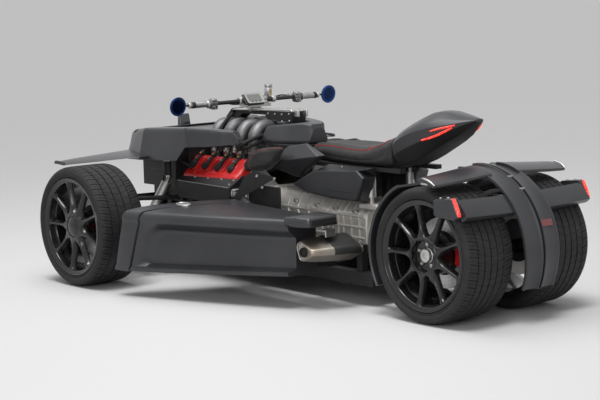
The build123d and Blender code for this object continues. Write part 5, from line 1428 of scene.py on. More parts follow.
def makeCamCover(name):
    rings = []
    ends = engine["ends"]
    for u, tall, _ in [(-u, t, n) for u, t, n in ends] + [(u, t, n) for u, t, n in ends[::-1]]:
        rings.append([(u, v, w if w < 0.0105 else 0.0105 + (w - 0.0105) * tall) for v, w in engine["cover"]])
    parts = [skinned(name + "Shell", rings, "wrinkleRed", 34)]
    # raised pad under each coil, ribs between them
    for u in engine["cylinders"]:
        parts.append(block(name + "Pad", (u - 0.027, -0.062, 0.03), (u + 0.027, 0.024, 0.0515), "wrinkleRed", 0.005, 3))
    for u in (-0.093, 0.022, 0.137):
        parts.append(block(name + "Rib", (u - 0.003, -0.07, 0.03), (u + 0.003, 0.06, 0.058), "wrinkleRed", 0.002))
    parts.append(block(name + "Gasket", (-0.2435, -0.0975, -0.003), (0.2435, 0.098, 0.0002), "mouldedBlack", 0.001))
    screws = [((u, side * 0.0925, 0.0102), (0, 0, 1), (1, 0, 0)) for side in (1, -1) for u in [-0.208 + 0.052 * n for n in range(9)]]
    parts.append(scatter(name + "Screws", screws, sources["bolt"], 0.0062, "zincBolt"))
    return toBank(joined(name, parts))


def makeCoils(name):
    parts = []
    for u in engine["cylinders"]:
        head = roundCorners(
            [(u - 0.022, -0.012), (u - 0.004, -0.026), (u + 0.023, -0.012), (u + 0.02, 0.018), (u + 0.0, 0.028), (u - 0.023, 0.014)], 0.007,
            4
        )
        for low, high, share in ((0.0505, 0.064, 1.0), (0.064, 0.07, 0.86), (0.07, 0.0745, 0.55)):
            outline = [(u + (p.x - u) * share, p.y * share) for p in head]
            parts.append(prism(name + "Head", outline, low, high, "mouldedBlack", "Z", 0.0022))
        # arm towards the valley, connector with its lock and lead
        arm = [(u - 0.013, -0.012), (u + 0.012, -0.012), (u - 0.004, -0.068), (u - 0.026, -0.068)]
        parts.append(prism(name + "Arm", arm, 0.0505, 0.066, "mouldedBlack", "Z", 0.0025))
        parts.append(block(name + "Plug", (u - 0.029, -0.094, 0.0515), (u - 0.003, -0.064, 0.072), "mouldedBlack", 0.003))
        parts.append(block(name + "Lock", (u - 0.021, -0.078, 0.072), (u - 0.011, -0.066, 0.0755), "amberPlastic", 0.001))
        lead = curvePoints([(u - 0.016, -0.092, 0.062), (u - 0.018, -0.108, 0.068), (u - 0.034, -0.122, 0.082), (u - 0.06, -0.128, 0.086)], 5)
        parts.append(plainTube(lead, 0.0055, 8, "hoseRubber", name + "Lead"))
        parts.append(scatter(name + "Screw", [((u, -0.04, 0.0658), (0, 0, 1), (1, 0, 0))], sources["bolt"], 0.0058, "zincBolt"))
    loom = curvePoints([(u, -0.128 + 0.004 * math.sin(31 * u), 0.086 + 0.003 * math.cos(23 * u)) for u in [-0.236 + 0.052 * n for n in range(9)]], 5)
    parts.append(plainTube(loom, 0.0095, 10, "hoseRubber", name + "Loom"))
    for u in (-0.13, -0.026, 0.078):
        parts.append(block(name + "Clip", (u - 0.006, -0.142, 0.074), (u + 0.006, -0.092, 0.08), "zincBolt", 0.002))
    return toBank(joined(name, parts))


# heat shield tray beside the bank: outer edge drawn in towards the front, rear end open on the port flange
tray = {"rear": 0.386, "front": 0.906, "outer": (0.4455, 0.412), "top": (0.5475, 0.5495), "lip": (0.586, 0.574), "low": 0.4525, "sheet": 0.0035}


def makeTray(name):
    rings = []
    for n in range(9):
        t = n / 8
        x = tray["rear"] + (tray["front"] - tray["rear"]) * t
        outer = tray["outer"][0] + (tray["outer"][1] - tray["outer"][0]) * t
        top, s = tray["top"][0] + (tray["top"][1] - tray["top"][0]) * t, tray["sheet"]
        inner, lip = 0.374 - 0.006 * t, tray["lip"][0] + (tray["lip"][1] - tray["lip"][0]) * t
        over = [
            (inner, lip - 0.012), (inner, lip), (inner + 0.006, lip - 0.001), (outer - 0.008, top + 0.004), (outer - 0.003, top + 0.0005),
            (outer - 0.0006, top - 0.003), (outer, top - 0.01), (outer, tray["low"])
        ]
        under = [(outer - s, tray["low"]), (outer - s, top - 0.011), (outer - 0.012, top - s), (inner + s, lip - 0.012)]
        rings.append([(x, y, z) for y, z in over + under])
    parts = [skinned(name + "Sheet", rings, "frameBlack", 40)]
    parts.append(prism(
        name + "Front", [(0.29, 0.4525), (0.362, 0.5485), (0.411, 0.5485), (0.411, 0.4525)], tray["front"] - 0.004, tray["front"],
        "frameBlack", "X", 0.0
    ))
    # bright zinc tube along the outer edge, a painted highlight standing in for the edge's highlight, and screws
    edge = [
        (
            tray["rear"] + (tray["front"] - tray["rear"]) * n / 8,
            tray["outer"][0] + (tray["outer"][1] - tray["outer"][0]) * n / 8 - 0.0018,
            tray["top"][0] + (tray["top"][1] - tray["top"][0]) * n / 8 - 0.0016
        )
        for n in range(9)
    ]
    parts.append(plainTube(edge, 0.0021, 8, "zincBolt", name + "Edge"))
    screws = [
        ((x, y, z), (0, 0.5, 0.87), (1, 0, 0)) for x, y,
        z in ((0.412, 0.424, 0.5588), (0.418, 0.388, 0.5775), (0.53, 0.386, 0.575), (0.655, 0.384, 0.572), (0.78, 0.381, 0.5695))
    ]
    parts.append(scatter(name + "Screws", screws, sources["bolt"], 0.0065, "zincBolt"))
    # port flange seen at the open rear end
    parts.append(prism(
        name + "Flange", roundCorners([(0.334, 0.498), (0.372, 0.5385), (0.43, 0.5385), (0.4355, 0.5), (0.4, 0.482)], 0.008, 3), 0.384, 0.4,
        "castAluminium", "X", 0.002
    ))
    parts.append(prism(
        name + "End", [(0.33, 0.4525), (0.3, 0.56), (0.345, 0.605), (0.376, 0.586), (0.4455, 0.5475), (0.4455, 0.4525)], 0.39, 0.397,
        "frameBlack", "X", 0.0
    ))
    for y in (0.352, 0.372, 0.392, 0.412):
        parts.append(block(name + "Rib", (0.374, y, 0.496 + 0.35 * abs(0.39 - y)), (0.386, y + 0.006, 0.5365), "castAluminium", 0.0015))
    parts.append(block(name + "Bar", (0.37, 0.35, 0.528), (0.388, 0.43, 0.536), "castAluminium", 0.002))
    return joined(name, parts)


def makeBracket(name):
    # bolted side plate behind the tray
    outer = [(0.375, 0.438, 0.466), (0.131, 0.327, 0.609), (0.255, 0.383, 0.642), (0.305, 0.406, 0.609)]
    way = Vector((-0.43, 0.9, 0)).normalized() * 0.004
    verts = [Vector(p) for p in outer] + [Vector(p) - way for p in outer]
    count = len(outer)
    faces = [tuple(range(count)), tuple(range(count, 2 * count))[::-1]] + [
        (n, (n + 1) % count, (n + 1) % count + count, n + count) for n in range(count)
    ]
    plate = newPiece(name + "Plate", verts, faces, "frameBlack", 20)
    up, along = tuple(way.normalized()), (0.9, 0.43, 0)
    screws = [
        (Vector(p) + way * 0.05, up, along)
        for p in ((0.294, 0.401, 0.507), (0.206, 0.361, 0.556), (0.139, 0.3305, 0.605), (0.234, 0.3735, 0.616))
    ]
    return joined(name, [plate, scatter(name + "Screws", screws, sources["bolt"], 0.0072, "zincBolt")])


def makeIntake(name):
    # eight fat runners bending into a plenum along the middle
    parts = []
    for side in (1, -1):
        for u in engine["cylinders"]:
            x = engine["middle"].x + u
            line = curvePoints(
                [
                    (x, side * y, z) for y,
                    z in ((0.166, 0.622), (0.168, 0.69), (0.172, 0.75), (0.16, 0.802), (0.126, 0.838), (0.084, 0.846), (0.04, 0.84))
                ],
                6
            )
            sizes = [0.029 + 0.007 * soften(n / len(line), 0.2, 0.5) for n in range(len(line))]
            parts.append(plainTube(line, sizes, 24, "darkCast", name + "Runner"))
            collar = [tuple(line[n]) for n in (6, 7, 8)]
            parts.append(plainTube(collar, 0.0325, 20, "zincBolt", name + "Collar"))
        low = engine["cylinders"]
        base = [(0.135, 0.591), (0.2, 0.654), (0.19, 0.664), (0.124, 0.6)]
        parts.append(prism(
            name + "Rail", [(side * y, z) for y, z in base], engine["middle"].x + low[0] - 0.04, engine["middle"].x + low[3] + 0.04,
            "castAluminium", "X", 0.002
        ))
    rings = []
    for x, grow in ((-0.186, 0.8), (-0.184, 0.92), (-0.176, 1.0), (0.176, 1.0), (0.184, 0.92), (0.186, 0.8)):
        outline = roundCorners([(-0.064, 0.742), (0.064, 0.742), (0.066, 0.82), (0.04, 0.8655), (-0.04, 0.8655), (-0.066, 0.82)], 0.024, 5)
        rings.append([(engine["middle"].x + x, p.x * grow, 0.805 + (p.y - 0.805) * grow) for p in outline])
    parts.append(skinned(name + "Plenum", rings, "frameBlack", 40))
    return joined(name, parts)


# exhausts: pipe along the floor, three-sided can with a dished end
can = {
    "section": ((-0.062, 0.048), (-0.03, 0.078), (0.075, 0.028), (0.08, 0.0), (-0.028, -0.058)), "place": (-0.392, 0.29),
    "rows": (
        (0.33, 1.08, 0.076), (0.336, 1.15, 0.074), (0.42, 1.13, 0.049), (0.48, 1.09, 0.032), (0.52, 1.04, 0.02), (0.55, 0.98, 0.01),
        (0.572, 0.94, 0.005), (0.584, 0.89, 0.002), (0.5905, 0.84, 0.0), (0.592, 0.8, 0.0), (0.5905, 0.77, 0.0), (0.582, 0.73, 0.0),
        (0.578, 0.56, 0.0)
    ),
}


def makeExhaust(name):
    rings = []
    for y, grow, lean in can["rows"]:
        outline = roundCorners([(u * grow + lean, v * grow) for u, v in can["section"]], 0.046, 7)
        rings.append([(can["place"][0] - p.x, y, can["place"][1] + p.y) for p in outline])
    parts = [skinned(name + "Can", rings, "exhaustSteel", 42)]
    # outlet pipe in the dished end
    rings = []
    for y, r in ((0.57, 0.0245), (0.5855, 0.0245), (0.587, 0.0235), (0.587, 0.0215), (0.5805, 0.021), (0.5795, 0.02)):
        rings.append([(can["place"][0] + 0.008 + r * math.cos(a), y, can["place"][1] + 0.008 + r * math.sin(a)) for a in circle(28)])
    parts.append(skinned(name + "Outlet", rings, "pipeBlack", 40, ends=(False, True)))
    # dark guard bolted over the inner half of the can
    rings = []
    for y, grow, lean in ((0.346, 1.185, 0.0715), (0.352, 1.2, 0.07), (0.43, 1.165, 0.047), (0.476, 1.14, 0.033), (0.48, 1.12, 0.032)):
        outline = roundCorners([(u * grow + lean, v * grow) for u, v in can["section"]], 0.046, 7)
        rings.append([(can["place"][0] - p.x, y, can["place"][1] + p.y) for p in outline[11:29]])
    inner = [[Vector(p) + Vector((0.004, 0, -0.005)) for p in ring] for ring in rings[::-1]]
    parts.append(skinned(name + "Guard", rings + inner, "frameBlack", 40, wrap=False, ends=noEnds))
    front = curvePoints(
        [
            (0.83, 0.372, 0.49), (0.6, 0.388, 0.49), (0.42, 0.398, 0.486), (0.33, 0.394, 0.474), (0.28, 0.388, 0.436), (0.24, 0.382, 0.34),
            (0.205, 0.376, 0.268), (0.16, 0.372, 0.25)
        ],
        6
    )
    path = curvePoints(
        [(0.16, 0.372, 0.25), (0.0, 0.372, 0.25), (-0.18, 0.372, 0.25), (-0.26, 0.372, 0.251), (-0.33, 0.372, 0.266), (-0.4, 0.372, 0.286)],
        6
    )
    parts.append(plainTube(front, 0.0255, 20, "frameBlack", name + "Header"))
    parts.append(plainTube(path, 0.0262, 20, "exhaustSteel", name + "Pipe"))
    for spot in (0.02, 0.55):
        n = int(len(path) * spot)
        parts.append(plainTube([tuple(p) for p in path[n:n + 3]], 0.0305, 20, "zincBolt", name + "Band"))
    return joined(name, parts)


# gearbox: ribbed casting behind the engine, x, half width, low and top
gearbox = (
    (0.396, 0.186, 0.2, 0.53), (0.372, 0.186, 0.2, 0.53), (0.366, 0.172, 0.214, 0.52), (0.25, 0.16, 0.222, 0.512),
    (0.12, 0.148, 0.22, 0.506), (-0.1, 0.136, 0.218, 0.5), (-0.346, 0.128, 0.217, 0.498), (-0.352, 0.122, 0.224, 0.49)
)


def makeGearbox(name):
    rings = []
    for x, half, low, top in gearbox:
        rings.append(roundCorners(
            [
                (x, -half, low + 0.05), (x, -half + 0.05, low), (x, half - 0.05, low), (x, half, low + 0.05), (x, half, top - 0.07),
                (x, half - 0.06, top), (x, -half + 0.06, top), (x, -half, top - 0.07)
            ],
            0.022, 4
        ))
    # the case, ribs, bosses and lugs take the paler cast finish, partly painted light
    parts = [skinned(name + "Case", rings, "rawCastWithPaintedLight", 30)]
    rows = [{"x": row[0], "half": row[1], "top": row[3]} for row in gearbox]
    # ribs along and across, thin and drafted
    for side in (1, -1):
        for drop in (0.078, 0.135, 0.19):
            line = []
            for n in range(13):
                x = 0.352 - 0.69 * n / 12
                line.append((x, side * (easeRow(rows, x, "half") + 0.002), easeRow(rows, x, "top") - drop))
            parts.append(plainTube(line, 0.0075, 8, "rawCastWithPaintedLight", name + "Rib"))
        for x, lean in (
            (0.3, 0.02), (0.225, 0.03), (0.15, 0.03), (0.07, 0.03), (-0.01, 0.03), (-0.06, 0.0), (-0.1, 0.0), (-0.14, 0.0), (-0.18, 0.0),
            (-0.24, 0.0), (-0.3, 0.0)
        ):
            half, top = easeRow(rows, x, "half"), easeRow(rows, x, "top")
            line = curvePoints(
                [
                    (x + lean, side * (half - 0.062), top - 0.001), (x + lean * 0.7, side * (half - 0.002), top - 0.07),
                    (x, side * half, top - 0.135), (x - lean, side * half, top - 0.24)
                ],
                6
            )
            parts.append(plainTube(line, 0.006, 8, "rawCastWithPaintedLight", name + "Web"))
    screws = []
    for z in (0.5, 0.455, 0.405, 0.35, 0.295, 0.24):
        for side in (1, -1):
            parts.append(plainTube([(0.362, side * 0.181, z), (0.376, side * 0.181, z)], 0.014, 16, "rawCastWithPaintedLight", name + "Boss"))
            screws.append(((0.362, side * 0.181, z), (-1, 0, 0), (0, 0, 1)))
    for x, z in ((0.18, 0.468), (0.02, 0.455), (-0.12, 0.45), (-0.27, 0.445)):
        for side in (1, -1):
            y = side * easeRow(rows, x, "half")
            parts.append(plainTube([(x, y - side * 0.006, z), (x, y + side * 0.008, z)], 0.012, 16, "rawCastWithPaintedLight", name + "Boss"))
            screws.append(((x, y + side * 0.008, z), (0, side, 0), (1, 0, 0)))
    parts.append(scatter(name + "Screws", screws, sources["bolt"], 0.0075, "zincBolt"))
    parts.append(plainTube([(-0.35, 0, axleZ), (-0.462, 0, axleZ)], 0.078, 40, "rawCastWithPaintedLight", name + "Neck"))
    parts.append(block(name + "Lugs", (-0.477, -0.165, 0.47), (-0.337, 0.165, 0.5), "rawCastWithPaintedLight", 0.006, 3))
    parts.append(block(name + "Fin", (-0.462, -0.02, 0.33), (-0.352, 0.02, 0.48), "rawCastWithPaintedLight", 0.005, 3))
    return joined(name, parts)


def makeEngine():
    settle(makeGearbox("gearbox"), "chassis", "cast_aluminium", "gearbox")
    pair(makeCamCover, "camCovers", "chassis", "signal_red", ("cam_covers",))
    pair(makeCoils, "coils", "chassis", "coil_plastic", ("ignition_coils",))
    pair(makeTray, "heatShields", "chassis", "frame_black", ("heat_shields",))
    pair(makeBracket, "sidePlates", "chassis", "frame_black")
    settle(makeIntake("intake"), "chassis", "cast_aluminium", "intake_manifold")
    pair(makeExhaust, "exhausts", "chassis", "exhaust_steel", ("exhausts",))
    print("engine made")


makeEngine()




# rear fender: angles about the rear axle, from +X over the top
fender = {
    "inner": 0.386, "outer": 0.398, "half": 0.118, "lip": 0.408, "start": 84, "end": 204,
    "wing": (
        (0.09, 91.5, 113.5, 0.391), (0.14, 91.5, 113.0, 0.387), (0.24, 92.0, 112.8, 0.379), (0.34, 92.4, 112.6, 0.371),
        (0.42, 92.8, 112.4, 0.366), (0.452, 93.4, 111.8, 0.3635)
    ),
    "bar": ((0.1, 132.0, 148.0), (0.24, 131.6, 147.6), (0.36, 131.0, 147.0), (0.426, 130.6, 146.6)),
}


def polar(radius, degrees, y):
    a = math.radians(degrees)
    return (rearAxleX + radius * math.cos(a), y, axleZ + radius * math.sin(a))


def makeFender(name):
    inner, outer, lip, edge = (fender[key] for key in ("inner", "outer", "lip", "half"))
    # arch: flanged edges, a sunk seam down the middle with a lip on each side
    side = [
        (0.0045, outer - 0.006), (0.0055, outer + 0.002), (0.0075, lip - 0.001), (0.0105, lip), (0.015, lip - 0.001), (0.018, outer + 0.003),
        (0.026, outer), (0.06, outer - 0.001), (0.094, outer - 0.003), (0.102, outer - 0.0015), (0.107, outer + 0.002), (0.113, outer + 0.0024),
        (edge - 0.001, outer + 0.0005), (edge, outer - 0.003), (edge, inner), (edge - 0.008, inner - 0.0005),
        (edge - 0.012, inner + 0.004), (0.0, inner + 0.004),
    ]
    profile = side + [(-y, r) for y, r in side[-2::-1]]
    rings = []
    for step in range(61):
        t = step / 60
        degrees = fender["start"] + (fender["end"] - fender["start"]) * t
        narrow = 1 - 0.1 * soften(t, 0.72, 1.0)
        rings.append([polar(r, degrees, y * narrow) for y, r in profile])
    parts = [skinned(name + "Arch", rings, "satinPaint", 32)]
    # left wing and lamp bar, mirrored afterwards
    def shell(label, rows, thickness, finish, bulge):
        rings = []
        for y, first, last, radius in rows:
            ring = []
            for share in (0.0, 0.01, 0.04, 0.1, 0.25, 0.5, 0.75, 0.9, 0.96, 0.99, 1.0):
                full = 0.0 if share in (0.0, 1.0) else (0.55 if share in (0.01, 0.99) else 1.0)
                ring.append(polar(
                    radius + thickness * 0.3 + thickness * 0.7 * full + bulge * math.sin(math.pi * share), first + (last - first) * share, y
                ))
            for share in (0.97, 0.75, 0.5, 0.25, 0.03):
                ring.append(polar(radius + bulge * math.sin(math.pi * share), first + (last - first) * share, y))
            rings.append(ring)
        return skinned(label, rings, finish, 34)
    left = [shell(name + "Wing", fender["wing"], 0.015, "satinPaint", 0.004)]
    left.append(shell(name + "Bar", [(y, a, b, 0.3475) for y, a, b in fender["bar"]], 0.04, "satinPaint", 0.001))
    # bright end bracket of the wing
    strip = curvePoints([polar(0.386, 99, 0.454), polar(0.387, 103, 0.457), polar(0.3855, 107, 0.456), polar(0.378, 111.5, 0.452)], 6)
    left.append(plainTube(
        strip, [0.003 + 0.0022 * math.sin(math.pi * n / (len(strip) - 1)) for n in range(len(strip))], 10, "polishedAluminium",
        name + "Trim"
    ))
    left.append(block(name + "Stay", (rearAxleX - 0.075, 0.4, 0.676), (rearAxleX - 0.03, 0.44, 0.69), "polishedAluminium", 0.004))
    # end cap of the bar: chamfered block
    cap = [
        (-0.129, 0.612), (-0.14, 0.621), (-0.248, 0.6335), (-0.259, 0.63), (-0.296, 0.552), (-0.292, 0.545), (-0.262, 0.528),
        (-0.14, 0.537), (-0.131, 0.545)
    ]
    rings = []
    centre = Vector((-0.2, 0.58))
    for y, pull in ((0.42, 0.0), (0.448, 0.0), (0.456, 0.003), (0.461, 0.009)):
        drawn = [Vector(p) + (centre - Vector(p)).normalized() * pull for p in cap]
        rings.append([(rearAxleX + p.x, y, p.y) for p in drawn])
    left.append(applied(bevelled(skinned(name + "Cap", rings, "satinPaint", 25), 0.003, 2, 25)))
    left.append(scatter(
        name + "Screws",
        [((rearAxleX - 0.165, 0.44, 0.6235), (0, 0, 1), (1, 0, 0)), ((rearAxleX - 0.215, 0.44, 0.629), (0, 0, 1), (1, 0, 0))],
        sources["bolt"], 0.0062, "zincBolt"
    ))
    half = joined(name + "Left", left)
    parts += [half, mirrored(half, name + "Right")]
    # clips over the seam, reflector behind the lower arch
    for degrees in (118, 131):
        middle = Vector(polar(0.404, degrees, 0))
        low, high = middle - Vector((0.006, 0.016, 0.006)), middle + Vector((0.004, 0.016, 0.004))
        parts.append(block(name + "Clip", tuple(low), tuple(high), "zincBolt", 0.002))
    rings = []
    for radius, grow in ((0.398, 0.0), (0.4045, 0.0), (0.4065, -0.002)):
        corners = ((156.5, -0.088 - grow), (156.5, -0.012 + grow), (161, -0.012 + grow), (161, -0.088 - grow))
        rings.append([polar(radius, degrees, y) for degrees, y in corners])
    parts.append(skinned(name + "Reflector", rings, "reflectorRed", 30))
    return joined(name, parts)


def makeRearLamps(name):
    parts = []
    top, low = Vector((-0.257, 0.631)), Vector((-0.2955, 0.549))
    out = Vector((low.y - top.y, -(low.x - top.x))).normalized()
    rings = []
    for y, swell in ((0.438, 0.0), (0.44, 0.8), (0.447, 1.0), (0.454, 0.8), (0.457, 0.0)):
        ring = []
        for n in range(9):
            p = top + (low - top) * n / 8
            bow = math.sin(math.pi * n / 8) ** 0.4
            q = p + out * (0.0015 + 0.0055 * swell * bow)
            ring.append((rearAxleX + q.x, y, q.y))
        ring += [(rearAxleX + low.x + 0.004, y, low.y + 0.001), (rearAxleX + top.x + 0.004, y, top.y)]
        rings.append(ring)
    parts.append(skinned(name + "Lens", rings, "lampRed", 40))
    left = joined(name + "Left", parts)
    return joined(name, [left, mirrored(left, name + "Right")])


def makeMudguards(name):
    # rolled blade in front of each rear wheel
    section = [
        (0.118, 0.349), (0.118, 0.357), (0.122, 0.3595), (0.27, 0.3605), (0.408, 0.3598), (0.4125, 0.3625), (0.418, 0.3632),
        (0.4225, 0.361), (0.424, 0.357), (0.423, 0.3525), (0.419, 0.349), (0.412, 0.3486), (0.27, 0.3486),
    ]
    rings = []
    for step in range(41):
        degrees = 66 - 96 * step / 40
        rings.append([polar(r, degrees, y) for y, r in section])
    return skinned(name, rings, "satinPaint", 34)


def makeRear():
    settle(makeFender("rearFender"), "chassis", "body_satin", "rear_fender")
    settle(makeRearLamps("rearLamps"), "chassis", "lamp_red", "rear_lamps")
    pair(makeMudguards, "rearMudguards", "chassis", "body_satin", ("rear_mudguards",))
    print("rear made")


makeRear()
# steered set, drawn in the frame of the stem: x forward, y left, z along the stem
stem = {"place": Vector((0.708, 0, 0.925)), "rake": math.radians(6), "bar": 0.052}


def onStem(x, y, z):
    c, s = math.cos(stem["rake"]), math.sin(stem["rake"])
    return stem["place"] + Vector((x * c - z * s, y, x * s + z * c))


def toStem(obj):
    for vert in obj.data.vertices:
        vert.co = onStem(*vert.co)
    return obj


def barTurned(name, profile, finish, x=0.0, sharp=40):
    # turned piece on the bar: profile of (Y, radius)
    rings = spun(profile, (x, 0, stem["bar"]), 28)
    return skinned(name, rings, finish, sharp, wrap=False, ends=noEnds)


def discTurned(name, profile, centre, finish, axis="X", sharp=40, steps=40):
    # turned piece about a line through centre: profile of (height, radius)
    rings = []
    for h, r in profile:
        ring = []
        for s in range(steps):
            a = 2 * math.pi * s / steps
            if axis == "X":
                ring.append((centre[0] + h, centre[1] + r * math.cos(a), centre[2] + r * math.sin(a)))
            else:
                ring.append((centre[0] + r * math.cos(a), centre[1] + r * math.sin(a), centre[2] + h))
        rings.append(ring)
    return skinned(name, rings, finish, sharp)


def makeHandlebar(name):
    z = stem["bar"]
    parts = [plainTube(
        [(0, y, z) for y in (-0.448, -0.3, -0.14, -0.11, 0.11, 0.14, 0.3, 0.448)],
        [0.0108, 0.0108, 0.0115, 0.0155, 0.0155, 0.0115, 0.0108, 0.0108], 24, "glossBlack", name + "Bar"
    )]
    for y in (0.055, -0.055):
        parts.append(block(name + "Clamp", (-0.019, y - 0.017, 0.0345), (0.019, y + 0.017, z), "castAluminium", 0.004, 3))
        parts.append(block(name + "Clamp", (-0.019, y - 0.017, z + 0.0005), (0.019, y + 0.017, z + 0.0185), "polishedAluminium", 0.006, 3))
        places = [((x, y + d, z + 0.018), (0, 0, 1), (1, 0, 0)) for x in (0.013, -0.013) for d in (0.01, -0.01)]
        parts.append(scatter(name + "Screws", places, sources["bolt"], 0.0042, "zincBolt"))
    return toStem(joined(name, parts))


def makeGrip(name):
    ribs = []
    for n in range(9):
        y = 0.346 + 0.0085 * n
        ribs += [(y, 0.016), (y + 0.0015, 0.017), (y + 0.0055, 0.017), (y + 0.007, 0.016)]
    sleeve = [
        (0.33, 0.0115), (0.33, 0.0215), (0.3315, 0.0235), (0.3355, 0.0235), (0.338, 0.02), (0.343, 0.0162)
    ] + ribs + [(0.424, 0.0162), (0.424, 0.0115), (0.33, 0.0115)]
    end = [(0.424, 0.0115), (0.424, 0.0168), (0.4265, 0.0178), (0.444, 0.0178), (0.448, 0.015), (0.448, 0.0115), (0.424, 0.0115)]
    parts = [barTurned(name + "Sleeve", sleeve, "satinSleeve"), barTurned(name + "End", end, "gripRubber")]
    return toStem(joined(name, parts))


def makeSwitches(name):
    z = stem["bar"]
    shell = [
        (0.277, 0.0116), (0.277, 0.019), (0.279, 0.0215), (0.2965, 0.0225), (0.2985, 0.0212), (0.3005, 0.0225), (0.321, 0.0215),
        (0.3235, 0.019), (0.3235, 0.0116), (0.277, 0.0116)
    ]
    parts = [barTurned(name + "Shell", shell, "darkCast")]
    parts.append(block(name + "Pod", (-0.026, 0.281, z - 0.03), (0.016, 0.318, z - 0.006), "darkCast", 0.006, 3))
    parts.append(block(name + "Top", (-0.02, 0.283, z + 0.012), (0.018, 0.316, z + 0.029), "satinSleeve", 0.006, 3))
    for y, z0, finish in ((0.291, z - 0.014, "mouldedBlack"), (0.306, z - 0.014, "zincBolt"), (0.299, z - 0.024, "zincBolt")):
        parts.append(block(name + "Button", (-0.0295, y - 0.0045, z0 - 0.0035), (-0.025, y + 0.0045, z0 + 0.0035), finish, 0.0015))
    # perch with clamp and lever pivot
    parts.append(block(name + "Perch", (0.01, 0.2855, z - 0.0085), (0.058, 0.3145, z + 0.0085), "castAluminium", 0.004, 3))
    parts.append(discTurned(
        name + "Pivot", ((-0.0135, 0.003), (-0.0135, 0.0085), (0.0125, 0.0085), (0.0145, 0.0065), (0.0145, 0.003)), (0.06, 0.296, z),
        "zincBolt", "Z", 40, 16
    ))
    for x in (0.022,):
        parts.append(scatter(
            name + "Screw", [((x, y, z + 0.0084), (0, 0, 1), (1, 0, 0)) for y in (0.291, 0.309)], sources["bolt"], 0.0042, "zincBolt"
        ))
    cable = curvePoints([(0.058, 0.28, z), (0.074, 0.24, z + 0.002), (0.078, 0.17, z - 0.014), (0.06, 0.11, z - 0.026), (0.03, 0.07, z - 0.022)], 8)
    parts.append(plainTube(cable, 0.0038, 8, "hoseRubber", name + "Cable"))
    return joined(name, parts)


def makeControls(name):
    z = stem["bar"]
    left = makeSwitches(name + "Left")
    parts = [left, mirrored(left, name + "Right")]
    # fluid reservoir on its stalk
    can0 = (0.044, -0.125, z)
    clamp = [(-0.137, 0.0116), (-0.137, 0.0175), (-0.135, 0.0185), (-0.115, 0.0185), (-0.113, 0.0175), (-0.113, 0.0116), (-0.137, 0.0116)]
    parts.append(barTurned(name + "Band", clamp, "castAluminium"))
    parts.append(block(name + "Stalk", (0.012, -0.134, z - 0.008), (0.05, -0.116, z + 0.009), "castAluminium", 0.003))
    parts.append(discTurned(
        name + "Cup", ((0.007, 0.012), (0.007, 0.02), (0.009, 0.0215), (0.058, 0.022), (0.06, 0.021), (0.0605, 0.015)), can0,
        "polishedAluminium", "Z"
    ))
    parts.append(discTurned(
        name + "Lid", ((0.0605, 0.012), (0.0605, 0.0215), (0.062, 0.0222), (0.0735, 0.0222), (0.0765, 0.02), (0.077, 0.01)), can0,
        "satinSleeve", "Z"
    ))
    parts.append(block(name + "Sight", (0.0205, -0.1295, z + 0.016), (0.023, -0.1205, z + 0.052), "amberPlastic", 0.001))
    return toStem(joined(name, parts))


def makeLever(name):
    z = stem["bar"]
    rings = []
    for t in [n / 16 for n in range(17)]:
        y = 0.286 + 0.147 * t
        x = 0.0665 - 0.0035 * math.sin(math.pi * min(t * 1.15, 1.0)) - 0.004 * t * t
        wide = 0.007 - 0.0026 * t + (0.0022 if t > 0.93 else 0.0)
        tall = 0.0052 - 0.0008 * t
        rings.append(roundCorners([(x - wide, y, z - tall), (x + wide, y, z - tall), (x + wide, y, z + tall), (x - wide, y, z + tall)], 0.0035, 3))
    return toStem(skinned(name, rings, "castAluminium", 40))


def makeMirror(name):
    z = stem["bar"]
    centre = (0, 0.539, z)
    shell = discTurned(
        name + "Shell",
        ((0.01, 0.006), (0.0095, 0.022), (0.007, 0.04), (0.002, 0.0505), (-0.003, 0.052), (-0.0068, 0.052), (-0.0068, 0.0505)), centre,
        "anodisedBlue", "X", 40, 48
    )
    ring = discTurned(
        name + "Ring", ((-0.006, 0.0475), (-0.0068, 0.048), (-0.0078, 0.049), (-0.0078, 0.0505), (-0.0068, 0.0515), (-0.005, 0.0515)),
        centre, "anodisedBlue", "X", 50, 48
    )
    glass = discTurned(name + "Glass", ((-0.004, 0.049), (-0.0066, 0.049), (-0.007, 0.03), (-0.0071, 0.006)), centre, "blueMirror", "X", 50, 48)
    arm = plainTube(curvePoints([(0, 0.463, z), (0.001, 0.476, z), (0.003, 0.49, z), (0.004, 0.502, z)], 4), 0.0058, 14, "glossBlack", name + "Arm")
    end = barTurned(
        name + "Plug", [(0.4482, 0.003), (0.4482, 0.0148), (0.45, 0.0158), (0.462, 0.0158), (0.4665, 0.012), (0.4668, 0.003)],
        "castAluminium"
    )
    return toStem(joined(name, [shell, ring, glass, arm, end]))


